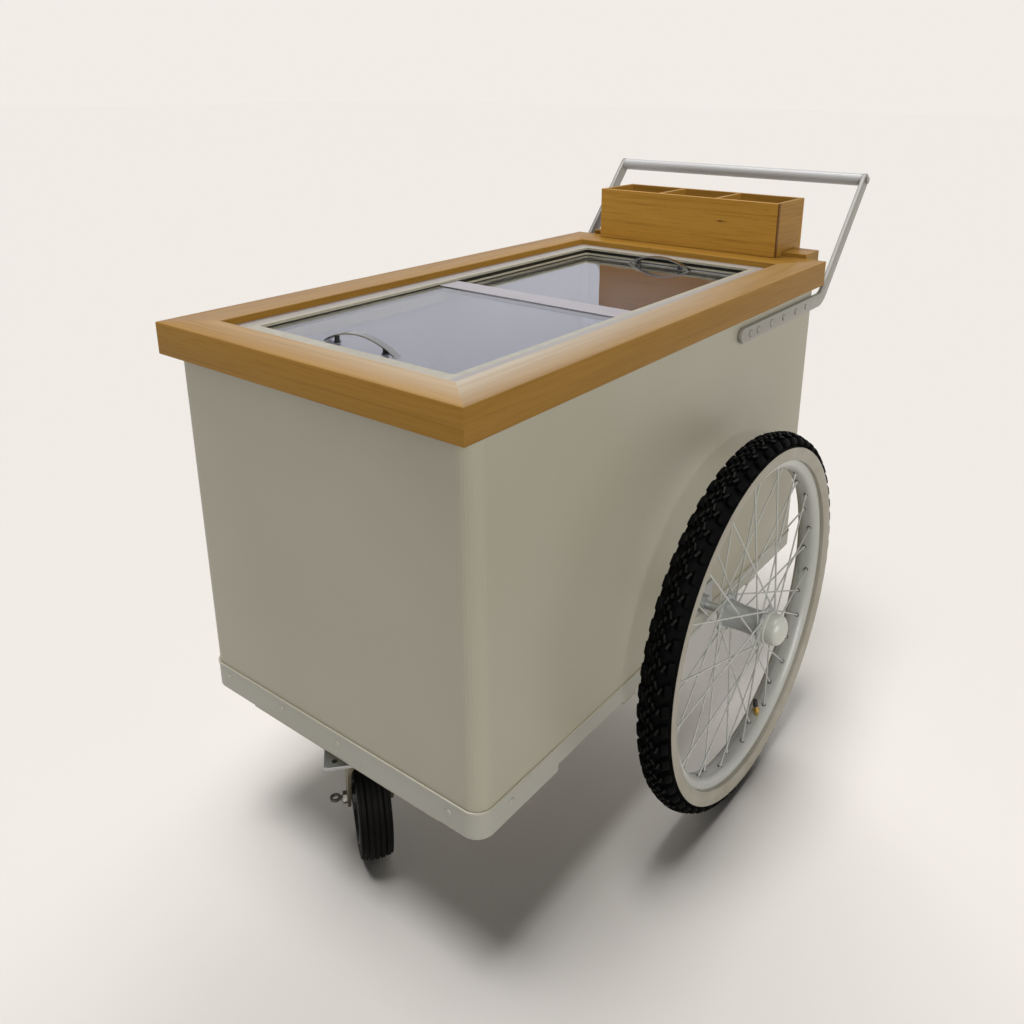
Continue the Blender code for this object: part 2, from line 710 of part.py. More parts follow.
def build_caddy():
    """Build the open wooden caddy, notched over the rear bar."""
    left = CADDY_SHIFT_X - CADDY_HALF_WIDTH
    right = CADDY_SHIFT_X + CADDY_HALF_WIDTH
    front = CADDY_FRONT_Y
    back = front + CADDY_DEPTH
    low = FRAME_TOP + SEAT_GAP
    high = FRAME_TOP + CADDY_HEIGHT
    wood = MATERIALS["honey_wood"]
    edge = RAIL_EDGE_RADIUS / 2
    panels = [
        ("caddy_front", (left, front, low), (right, front + CADDY_PANEL, high)),
        ("caddy_back", (left, back - CADDY_PANEL, low), (right, back, high)),
    ]
    inner_front = front + CADDY_PANEL + SEAT_GAP
    inner_back = back - CADDY_PANEL - SEAT_GAP
    floor_low = FRAME_TOP + BAR_RISE + SEAT_GAP
    floor_high = floor_low + CADDY_PANEL
    panels.append((
        "caddy_floor",
        (left + CADDY_PANEL + SEAT_GAP, inner_front, floor_low),
        (right - CADDY_PANEL - SEAT_GAP, inner_back, floor_high)
    ))
    inner_width = right - left - 2 * CADDY_PANEL
    for index in range(1, CADDY_COMPARTMENTS):
        x = left + CADDY_PANEL + inner_width * index / CADDY_COMPARTMENTS
        panels.append((
            "caddy_divider_%d" % index,
            (x - CADDY_PANEL / 2, inner_front, floor_high + SEAT_GAP),
            (x + CADDY_PANEL / 2, inner_back, high - SEAT_GAP)
        ))
    for name, corner_low, corner_high in panels:
        soften(place(name, box_mesh(corner_low, corner_high), wood), edge, 1)
    notch_front = FRAME_HALF_LENGTH - CADDY_NOTCH_CLEARANCE
    notch_back = FRAME_HALF_LENGTH + SEAT_GAP + BAR_DEPTH + CADDY_NOTCH_CLEARANCE
    notch_top = FRAME_TOP + BAR_RISE + SEAT_GAP
    outline = [
        (inner_front, low), (notch_front, low), (notch_front, notch_top), (notch_back, notch_top),
        (notch_back, low), (inner_back, low), (inner_back, high), (inner_front, high)
    ]
    for name, x in (("caddy_end_left", left + CADDY_PANEL / 2), ("caddy_end_right", right - CADDY_PANEL / 2)):
        end = place(name, outline_mesh([outline], CADDY_PANEL), wood, matrix=facing_side(x))
        soften(end, edge, 1)


def facing_side(x):
    """Return the matrix that stands an XY outline in the YZ plane at X."""
    turn = Matrix(((0.0, 0.0, 1.0), (1.0, 0.0, 0.0), (0.0, 1.0, 0.0))).to_4x4()
    return Matrix.Translation((x, 0.0, 0.0)) @ turn


def arm_centreline():
    """Return the bent middle line of an arm, as points in Y and Z."""
    start = Vector((ARM_BEND_Y - ARM_LEVEL_LENGTH, ARM_LEVEL_Z))
    corner = Vector((ARM_BEND_Y, ARM_LEVEL_Z))
    end = Vector((PUSH_BAR_Y, PUSH_BAR_Z))
    rise = (end - corner).normalized()
    turn = math.atan2(rise.y, rise.x)
    run = ARM_BEND_RADIUS * math.tan(turn / 2)
    centre = Vector((corner.x - run, corner.y + ARM_BEND_RADIUS))
    points = [start]
    for step in range(ARM_BEND_STEPS + 1):
        angle = -math.pi / 2 + turn * step / ARM_BEND_STEPS
        points.append(centre + ARM_BEND_RADIUS * Vector((math.cos(angle), math.sin(angle))))
    points.append(end)
    return points


def strip_outline(points, width):
    """Return the outline of a strip of even width with round ends."""
    half = width / 2
    normals = []
    for index in range(len(points)):
        before = points[max(index - 1, 0)]
        after = points[min(index + 1, len(points) - 1)]
        along = (after - before).normalized()
        normals.append(Vector((-along.y, along.x)))
    outline = [point - half * normal for point, normal in zip(points, normals)]
    outline += round_end(points[-1], -normals[-1], half)
    outline += [point + half * normal for point, normal in reversed(list(zip(points, normals)))]
    outline += round_end(points[0], normals[0], half)
    return [tuple(point) for point in outline]


def round_end(centre, start, radius):
    """Return the inner points of a half circle, anticlockwise from a direction."""
    first = math.atan2(start.y, start.x)
    points = []
    for step in range(1, ARM_END_STEPS):
        angle = first + math.pi * step / ARM_END_STEPS
        points.append(centre + radius * Vector((math.cos(angle), math.sin(angle))))
    return points


def build_push_handle():
    """Build the two bent arms, bolted to the side walls, and the bar between them."""
    outline = strip_outline(arm_centreline(), ARM_WIDTH)
    middle = BOX_HALF_WIDTH + SEAT_GAP + ARM_THICKNESS / 2
    for name, side in (("handle_arm_left", -1), ("handle_arm_right", 1)):
        arm = place(
            name, outline_mesh([outline], ARM_THICKNESS), MATERIALS["satin_aluminium"],
            matrix=facing_side(side * middle)
        )
        soften(arm, RAIL_EDGE_RADIUS)
    half = BOX_HALF_WIDTH
    place(
        "push_bar", cylinder_mesh(PUSH_BAR_RADIUS, -half, half, 24), MATERIALS["satin_aluminium"],
        matrix=Matrix.Translation((0.0, PUSH_BAR_Y, PUSH_BAR_Z)) @ Matrix.Rotation(math.pi / 2, 4, "Y")
    )
    outer = middle + ARM_THICKNESS / 2 + SEAT_GAP
    for name, side in (("bar_bolt_left", -1), ("bar_bolt_right", 1)):
        turn = Matrix.Rotation(side * math.pi / 2, 4, "Y")
        bolt = place(
            name, cylinder_mesh(BAR_BOLT_RADIUS, 0.0, BAR_BOLT_HEIGHT, 16), MATERIALS["zinc_steel"],
            matrix=Matrix.Translation((side * outer, PUSH_BAR_Y, PUSH_BAR_Z)) @ turn
        )
        soften(bolt, BAR_BOLT_HEIGHT / 2)


def build_axles():
    """Build the stub axles on their plates, one for each side wall."""
    low = WHEEL_RADIUS - AXLE_PLATE_HALF_HEIGHT + AXLE_PLATE_RISE
    high = WHEEL_RADIUS + AXLE_PLATE_HALF_HEIGHT + AXLE_PLATE_RISE
    inner = BOX_HALF_WIDTH + SEAT_GAP
    face = inner + AXLE_PLATE_SHEET
    for name, side in (("axle_left", -1), ("axle_right", 1)):
        near = min(side * inner, side * face)
        far = max(side * inner, side * face)
        plate = place(
            name,
            box_mesh(
                (near, WHEEL_Y - AXLE_PLATE_HALF_LENGTH, low), (far, WHEEL_Y + AXLE_PLATE_HALF_LENGTH, high)
            ),
            MATERIALS["zinc_steel"]
        )
        turn = Matrix.Rotation(side * math.pi / 2, 4, "Y")
        stand = Matrix.Translation((side * inner, WHEEL_Y, WHEEL_RADIUS)) @ turn
        sink = AXLE_PLATE_SHEET / 2
        boss_end = AXLE_PLATE_SHEET + AXLE_BOSS_LENGTH
        axle_end = WHEEL_CENTRE_X - inner + AXLE_END_RUN
        combine(plate, cylinder_mesh(AXLE_BOSS_RADIUS, sink, boss_end, 24), "UNION", stand)
        combine(plate, cylinder_mesh(AXLE_RADIUS, sink, axle_end, 16), "UNION", stand)


def tyre_profile():
    """Return the closed section of a tyre, as (radius, height) points."""
    centre = WHEEL_RADIUS - TYRE_SECTION_RADIUS
    seat = RIM_LIP_RADIUS + SEAT_GAP
    limit = math.acos((seat - centre) / TYRE_SECTION_RADIUS)
    points = []
    for step in range(TYRE_SECTION_STEPS + 1):
        angle = limit - 2 * limit * step / TYRE_SECTION_STEPS
        points.append((
            centre + TYRE_SECTION_RADIUS * math.cos(angle), TYRE_SECTION_RADIUS * math.sin(angle)
        ))
    return points


def whitewall_profile():
    """Return the section of the pale ring on the outer side wall of a tyre."""
    centre = WHEEL_RADIUS - TYRE_SECTION_RADIUS
    inner = TYRE_SECTION_RADIUS + SEAT_GAP
    outer = inner + WHITEWALL_PROUD
    first = math.acos((WHEEL_RADIUS - WHITEWALL_INSET - centre) / TYRE_SECTION_RADIUS)
    seat = RIM_LIP_RADIUS + SEAT_GAP + WHITEWALL_PROUD
    last = math.acos((seat - centre) / TYRE_SECTION_RADIUS)
    angles = [first + (last - first) * step / WHITEWALL_STEPS for step in range(WHITEWALL_STEPS + 1)]
    points = [(centre + outer * math.cos(angle), outer * math.sin(angle)) for angle in angles]
    points += [(centre + inner * math.cos(angle), inner * math.sin(angle)) for angle in reversed(angles)]
    return points


def rim_profile():
    """Return the closed section of the rim."""
    lip = RIM_LIP_RADIUS
    bed = RIM_BED_RADIUS
    shoulder = bed + RIM_LIP_HEIGHT / 3
    return [
        (lip, RIM_HALF_WIDTH), (shoulder, RIM_HALF_WIDTH), (bed, RIM_BED_HALF_WIDTH),
        (bed, -RIM_BED_HALF_WIDTH), (shoulder, -RIM_HALF_WIDTH), (lip, -RIM_HALF_WIDTH)
    ]


def hub_profile():
    """Return the closed section of the hub, with its bore."""
    outer = HUB_FLANGE_OFFSET + HUB_FLANGE_THICKNESS / 2
    inner = HUB_FLANGE_OFFSET - HUB_FLANGE_THICKNESS / 2
    end = outer + HUB_NECK_LENGTH
    half = [
        (HUB_BORE_RADIUS, end), (HUB_NECK_RADIUS, end), (HUB_NECK_RADIUS, outer),
        (HUB_FLANGE_RADIUS, outer), (HUB_FLANGE_RADIUS, inner), (HUB_BARREL_RADIUS, inner),
        (HUB_WAIST_RADIUS, inner / 2)
    ]
    return half + [(radius, -height) for radius, height in reversed(half)]


def spokes_mesh():
    """Return the laced spokes as one mesh of rods from the hub flanges to the rim."""
    bm = bmesh.new()
    per_side = SPOKE_COUNT // 2
    hole_step = 2 * math.pi / per_side
    rim_step = 2 * math.pi / SPOKE_COUNT
    reach = RIM_BED_RADIUS + SPOKE_EMBED
    for index in range(SPOKE_COUNT):
        side = 1 if index % 2 == 0 else -1
        order = index // 2
        lean = 1 if order % 2 == 0 else -1
        rim_angle = (index + 0.5) * rim_step
        hub_angle = rim_angle + lean * SPOKE_CROSSINGS * hole_step
        height = side * HUB_FLANGE_OFFSET + lean * side * HUB_FLANGE_THICKNESS / 2
        start = Vector((HUB_HOLE_RADIUS * math.cos(hub_angle), HUB_HOLE_RADIUS * math.sin(hub_angle), height))
        end = Vector((reach * math.cos(rim_angle), reach * math.sin(rim_angle), side * RIM_BED_HALF_WIDTH / 3))
        add_rod(bm, start, end, SPOKE_RADIUS)
    return mesh_from(bm, "spokes")


def add_rod(bm, start, end, radius):
    """Add a thin closed cylinder between two points."""
    along = end - start
    turn = along.to_track_quat("Z", "Y").to_matrix().to_4x4()
    matrix = Matrix.Translation((start + end) / 2) @ turn
    bmesh.ops.create_cone(
        bm, cap_ends=True, segments=SPOKE_SIDES, radius1=radius, radius2=radius,
        depth=along.length, matrix=matrix
    )


def cap_profile():
    """Return the section of the domed hub cap, open towards the hub."""
    low = HUB_FLANGE_OFFSET + HUB_FLANGE_THICKNESS / 2 + SEAT_GAP
    high = low + CAP_LENGTH
    dome = CAP_LENGTH * CAP_DOME_SHARE
    steps = 4
    outer = []
    inner = []
    for step in range(steps + 1):
        angle = math.pi / 2 * step / steps
        outer.append((CAP_RADIUS * math.sin(angle), high - dome + dome * math.cos(angle)))
        inner.append((
            (CAP_RADIUS - CAP_WALL) * math.sin(angle),
            high - dome + (dome - CAP_WALL) * math.cos(angle)
        ))
    outer.append((CAP_RADIUS, low))
    inner.append((CAP_RADIUS - CAP_WALL, low))
    return outer, list(reversed(inner))


def cap_mesh():
    """Return the cap: a profile from pole to rim and back, turned about Z."""
    outer, inner = cap_profile()
    bm = bmesh.new()
    verts = [bm.verts.new((radius, 0.0, height)) for radius, height in outer + inner]
    for first, second in zip(verts, verts[1:]):
        bm.edges.new((first, second))
    mesh = bpy.data.meshes.new("cap")
    bm.to_mesh(mesh)
    bm.free()
    return screwed(mesh, HUB_STEPS, "cap")


def build_wheel(side_name, side):
    """Build one spoked wheel about its axle."""
    axis = pivot(
        "wheel_axis_" + side_name, (side * WHEEL_CENTRE_X, WHEEL_Y, WHEEL_RADIUS),
        rotation_y=side * math.pi / 2
    )
    place("tyre_" + side_name, turned_mesh(tyre_profile(), TYRE_STEPS), MATERIALS["black_rubber"], parent=axis)
    place(
        "whitewall_" + side_name, turned_mesh(whitewall_profile(), TYRE_STEPS),
        MATERIALS["white_rubber"], parent=axis
    )
    wheel = place(
        "spoked_wheel_" + side_name, turned_mesh(rim_profile(), TYRE_STEPS),
        MATERIALS["painted_wheel"], parent=axis
    )
    combine(wheel, turned_mesh(hub_profile(), HUB_STEPS), "UNION")
    combine(wheel, spokes_mesh(), "UNION", solve_self=True)
    place("hub_cap_" + side_name, cap_mesh(), MATERIALS["painted_wheel"], parent=axis)
    turn = Matrix.Rotation(math.radians(VALVE_ANGLE_DEG), 4, "Z") @ Matrix.Rotation(math.pi / 2, 4, "Y")
    outer = RIM_BED_RADIUS * math.cos(math.pi / TYRE_STEPS) - SEAT_GAP
    place(
        "valve_" + side_name, cylinder_mesh(VALVE_RADIUS, outer - VALVE_LENGTH, outer, 12),
        MATERIALS["golden_brass"], parent=axis, matrix=turn
    )


def caster_tyre_profile():
    """Return the closed section of the ribbed caster tyre."""
    half = CASTER_TYRE_WIDTH / 2
    shoulder = half - CASTER_SHOULDER_WIDTH
    points = [(CASTER_TYRE_INNER_RADIUS, half), (CASTER_RADIUS - CASTER_SHOULDER_DROP, half)]
    points.append((CASTER_RADIUS - CASTER_SHOULDER_DROP / 4, shoulder + CASTER_SHOULDER_WIDTH / 2))
    points.append((CASTER_RADIUS, shoulder))
    pitch = 2 * shoulder / (CASTER_GROOVES + 1)
    floor = CASTER_RADIUS - CASTER_GROOVE_DEPTH
    for index in range(1, CASTER_GROOVES + 1):
        middle = shoulder - pitch * index
        points.append((CASTER_RADIUS, middle + CASTER_GROOVE_WIDTH / 2))
        points.append((floor, middle))
        points.append((CASTER_RADIUS, middle - CASTER_GROOVE_WIDTH / 2))
    points.append((CASTER_RADIUS, -shoulder))
    points.append((CASTER_RADIUS - CASTER_SHOULDER_DROP / 4, -shoulder - CASTER_SHOULDER_WIDTH / 2))
    points += [(CASTER_RADIUS - CASTER_SHOULDER_DROP, -half), (CASTER_TYRE_INNER_RADIUS, -half)]
    return points


def caster_core_profile():
    """Return the closed section of the caster's wheel centre."""
    rim = CASTER_TYRE_INNER_RADIUS - SEAT_GAP
    half_rim = CASTER_TYRE_WIDTH / 2
    half_hub = CASTER_HUB_WIDTH / 2
    half_disc = CASTER_DISC_WIDTH / 2
    lip = rim - CASTER_RIM_SHEET
    return [
        (CASTER_BORE_RADIUS, half_hub), (CASTER_HUB_RADIUS, half_hub), (CASTER_HUB_RADIUS, half_disc),
        (lip, half_disc), (lip, half_rim), (rim, half_rim), (rim, -half_rim), (lip, -half_rim),
        (lip, -half_disc), (CASTER_HUB_RADIUS, -half_disc), (CASTER_HUB_RADIUS, -half_hub),
        (CASTER_BORE_RADIUS, -half_hub)
    ]


def fork_front_outline(half_width):
    """Return the fork seen along its wheel: an upside-down U with round shoulders."""
    foot = CASTER_RADIUS - 2 * FORK_FOOT_RADIUS
    inner = half_width - FORK_SHEET
    top = FORK_CROWN_TOP
    radius = FORK_SHOULDER_RADIUS
    outer_arc = []
    inner_arc = []
    for step in range(FORK_STEPS + 1):
        angle = math.pi / 2 * step / FORK_STEPS
        across = math.cos(angle)
        up = math.sin(angle)
        outer_arc.append((half_width - radius + radius * across, top - radius + radius * up))
        small = radius - FORK_SHEET
        inner_arc.append((inner - small + small * across, top - radius + small * up))
    right = [(half_width, foot)] + outer_arc
    left = [(-x, z) for x, z in reversed(right)]
    under_left = [(-x, z) for x, z in inner_arc]
    under_right = list(reversed(inner_arc))
    return right + left + [(-inner, foot)] + under_left + under_right + [(inner, foot)]


def fork_side_outline():
    """Return the fork in (Y, Z): broad at the crown and round at the axle."""
    top = FORK_CROWN_TOP + CUT_OVERRUN
    shoulder = FORK_CROWN_TOP - FORK_CROWN_DROP
    points = [(FORK_TOP_HALF_DEPTH, shoulder), (FORK_TOP_HALF_DEPTH, top), (-FORK_TOP_HALF_DEPTH, top)]
    points.append((-FORK_TOP_HALF_DEPTH, shoulder))
    for step in range(FORK_STEPS + 1):
        angle = math.radians(200.0) + math.radians(160.0) * step / FORK_STEPS
        points.append((
            CASTER_TRAIL + FORK_FOOT_RADIUS * math.cos(angle), CASTER_RADIUS + FORK_FOOT_RADIUS * math.sin(angle)
        ))
    return points


def build_caster():
    """Build the swivel caster: its plate, fork, axle bolt, lever and wheel."""
    swivel = pivot("caster_swivel", (0.0, SWIVEL_Y, 0.0), rotation_z=math.radians(CASTER_HEADING_DEG))
    plate = place(
        "caster_plate",
        outline_mesh(
            [rounded_rectangle(
                -PLATE_HALF_WIDTH, -PLATE_HALF_DEPTH, PLATE_HALF_WIDTH, PLATE_HALF_DEPTH,
                PLATE_CORNER_RADIUS, 4
            )],
            PLATE_SHEET
        ),
        MATERIALS["zinc_steel"],
        matrix=Matrix.Translation((0.0, SWIVEL_Y, PLATE_TOP - PLATE_SHEET / 2))
        @ Matrix.Rotation(math.radians(PLATE_TURN_DEG), 4, "Z")
    )
    soften(plate, PLATE_SHEET / 5, 1)
    race = cylinder_mesh(RACE_RADIUS, FORK_CROWN_TOP + SEAT_GAP, PLATE_TOP - PLATE_SHEET / 2, 32)
    combine(plate, race, "UNION", Matrix.Translation((0.0, SWIVEL_Y, 0.0)))
    half_width = CASTER_HUB_WIDTH / 2 + FORK_CLEARANCE + FORK_SHEET
    build_fork(swivel, half_width)
    axle = Matrix.Translation((0.0, CASTER_TRAIL, CASTER_RADIUS)) @ Matrix.Rotation(math.pi / 2, 4, "Y")
    build_caster_bolt(swivel, half_width + SEAT_GAP, axle)
    spin = pivot(
        "caster_wheel_axis", (0.0, CASTER_TRAIL, CASTER_RADIUS), parent=swivel, rotation_y=math.pi / 2
    )
    place(
        "caster_tyre", turned_mesh(caster_tyre_profile(), CASTER_STEPS), MATERIALS["black_rubber"],
        parent=spin
    )
    place(
        "caster_core", turned_mesh(caster_core_profile(), HUB_STEPS), MATERIALS["pale_paint"], parent=spin
    )


def build_fork(swivel, half_width):
    """Build the pressed fork, cut to its side outline and drilled for the axle bolt."""
    reach = CASTER_TRAIL + FORK_TOP_HALF_DEPTH
    stand = Matrix.Rotation(math.pi / 2, 4, "X")
    fork = place(
        "caster_fork", outline_mesh([fork_front_outline(half_width)], 2 * reach + CUT_OVERRUN),
        MATERIALS["pale_paint"], parent=swivel, matrix=stand
    )
    wide = 2 * half_width + CUT_OVERRUN
    combine(fork, outline_mesh([fork_side_outline()], wide), "INTERSECT", facing_side(0.0))
    drill = cylinder_mesh(CASTER_BORE_RADIUS, -wide, wide, 16)
    axle = Matrix.Translation((0.0, CASTER_TRAIL, CASTER_RADIUS)) @ Matrix.Rotation(math.pi / 2, 4, "Y")
    combine(fork, drill, "DIFFERENCE", axle)


def build_caster_bolt(swivel, reach, axle):
    """Build the axle bolt, with a hexagon head, a nut and the ring lever on its left end."""
    head_length = CASTER_BOLT_HEAD_LENGTH
    shank = reach + head_length / 2
    bolt = place(
        "caster_axle_bolt", cylinder_mesh(CASTER_BOLT_RADIUS, -shank, shank, 16),
        MATERIALS["zinc_steel"], parent=swivel, matrix=axle
    )
    head = cylinder_mesh(CASTER_BOLT_HEAD_RADIUS, reach, reach + head_length, 6)
    combine(bolt, head, "UNION")
    nut = cylinder_mesh(CASTER_BOLT_HEAD_RADIUS, -reach - head_length, -reach, 6)
    combine(bolt, nut, "UNION")
    build_lever(swivel, reach + head_length + SEAT_GAP)


def build_lever(swivel, start):
    """Build the flat lever with a finger ring that stands out from the bolt's left end."""
    half = LEVER_STEM_WIDTH / 2
    ring_x = -LEVER_REACH + LEVER_RING_RADIUS
    meet = math.asin(half / LEVER_RING_RADIUS)
    steps = 4 * FORK_STEPS
    outline = [(0.0, -half), (0.0, half)]
    for step in range(steps + 1):
        angle = meet + (2 * math.pi - 2 * meet) * step / steps
        outline.append((
            ring_x + LEVER_RING_RADIUS * math.cos(angle), LEVER_RING_RADIUS * math.sin(angle)
        ))
    hole = [
        (
            ring_x + LEVER_HOLE_RADIUS * math.cos(2 * math.pi * step / steps),
            LEVER_HOLE_RADIUS * math.sin(2 * math.pi * step / steps)
        )
        for step in range(steps)
    ]
    turn = Matrix.Rotation(-math.radians(LEVER_SWEEP_DEG), 4, "Z")
    lead = half * math.sin(math.radians(LEVER_SWEEP_DEG))
    stand = Matrix.Translation((-start - lead, CASTER_TRAIL, CASTER_RADIUS)) @ turn
    place(
        "caster_lever", outline_mesh([outline, hole], LEVER_THICKNESS), MATERIALS["zinc_steel"],
        parent=swivel, matrix=stand
    )


clear_scene()
PARTS = make_collection("ice_cream_cart")
CUTTERS = make_collection("cutters")
BOX_MIDDLE = bpy.data.objects.new("box_middle", None)
PARTS.objects.link(BOX_MIDDLE)
BOX_MIDDLE.location = (0.0, (FRAME_HALF_LENGTH - PUSH_BAR_Y - ARM_WIDTH / 2) / 2, 0.0)
MATERIALS = {
    "pale_paint": paint("pale_paint", PALE_PAINT, 0.45),
    "band_paint": paint("band_paint", BAND_PAINT, 0.45),
    "honey_wood": paint("honey_wood", HONEY_WOOD, 0.35),
    "satin_aluminium": paint("satin_aluminium", SATIN_ALUMINIUM, 0.40, 0.8),
    "cream_plastic": paint("cream_plastic", CREAM_PLASTIC, 0.40),
    "clear_glass": paint("clear_glass", CLEAR_GLASS, 0.03),
    "bright_chrome": paint("bright_chrome", BRIGHT_CHROME, 0.12, 1.0),
    "black_rubber": paint("black_rubber", BLACK_RUBBER, 0.75),
    "white_rubber": paint("white_rubber", WHITE_RUBBER, 0.60),
    "painted_wheel": paint("painted_wheel", PAINTED_WHEEL, 0.35),
    "zinc_steel": paint("zinc_steel", ZINC_STEEL, 0.40, 0.7),
    "golden_brass": paint("golden_brass", GOLDEN_BRASS, 0.30, 1.0),
    "white_liner": paint("white_liner", WHITE_LINER, 0.40),
}
build_cabinet()
build_base_band()
build_cross_members()
build_top_frame()
build_lid_surround()
build_lids()
build_caddy()
build_push_handle()
build_axles()
build_wheel("left", -1)
build_wheel("right", 1)
build_caster()
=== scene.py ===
# %% [markdown]
# # Ice cream push cart
# This lesson dresses a plain CAD model of an ice cream cart: an insulated box under
# sliding glass lids, with a wooden top frame, a wooden caddy, a push bar, two laced
# wheels and one swivel caster. The CAD solids stay where they are. Here they get their
# finishes, and the pieces that a maker would look at closely are modelled anew.

# %% Load the frame
import json
import math

import bmesh
import bpy
from mathutils import Matrix, Vector

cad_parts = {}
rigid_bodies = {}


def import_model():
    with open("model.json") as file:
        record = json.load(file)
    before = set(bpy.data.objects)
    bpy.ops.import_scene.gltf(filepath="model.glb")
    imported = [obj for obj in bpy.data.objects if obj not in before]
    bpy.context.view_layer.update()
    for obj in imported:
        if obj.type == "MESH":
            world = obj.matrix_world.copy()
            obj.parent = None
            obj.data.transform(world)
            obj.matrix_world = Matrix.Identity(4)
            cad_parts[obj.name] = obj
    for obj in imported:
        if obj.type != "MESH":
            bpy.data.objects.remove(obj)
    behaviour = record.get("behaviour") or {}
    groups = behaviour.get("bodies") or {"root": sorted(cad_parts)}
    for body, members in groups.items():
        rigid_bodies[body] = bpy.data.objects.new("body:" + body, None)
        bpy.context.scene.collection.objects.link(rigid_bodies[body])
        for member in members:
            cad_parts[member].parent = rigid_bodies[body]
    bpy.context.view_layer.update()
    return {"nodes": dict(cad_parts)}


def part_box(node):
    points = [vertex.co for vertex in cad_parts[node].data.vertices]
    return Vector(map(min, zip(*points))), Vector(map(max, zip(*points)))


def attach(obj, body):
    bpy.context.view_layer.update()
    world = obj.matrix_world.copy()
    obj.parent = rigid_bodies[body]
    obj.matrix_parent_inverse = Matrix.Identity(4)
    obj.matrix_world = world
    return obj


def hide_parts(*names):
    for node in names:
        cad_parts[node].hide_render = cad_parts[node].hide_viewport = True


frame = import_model()
nodes = frame["nodes"]
print("CAD nodes:", len(nodes))

# %% [markdown]
# ## Finishes are built from a few small steps
# Every finish on the cart is one Principled shader with some pattern wired in. The
# class below holds one material while it is made, and each of its methods is one step:
# a noise pattern stretched along chosen axes, a pattern turned into colours, two colours
# blended, or a pattern turned into relief. All of them read Object coordinates, so a
# pattern stays on its piece when the piece moves.

# %% Helpers for finishes
MICRON = 0.000001


def shade(red, green, blue):
    """A colour typed as 0 to 255 screen values, as the shader's linear values."""
    linear = []
    for value in (red, green, blue):
        part = value / 255
        linear.append(part / 12.92 if part <= 0.04045 else ((part + 0.055) / 1.055) ** 2.4)
    return (*linear, 1.0)


def dimmed(colour, factor):
    """The same colour, lighter or darker."""
    return tuple(value * factor for value in colour[:3]) + (1.0,)


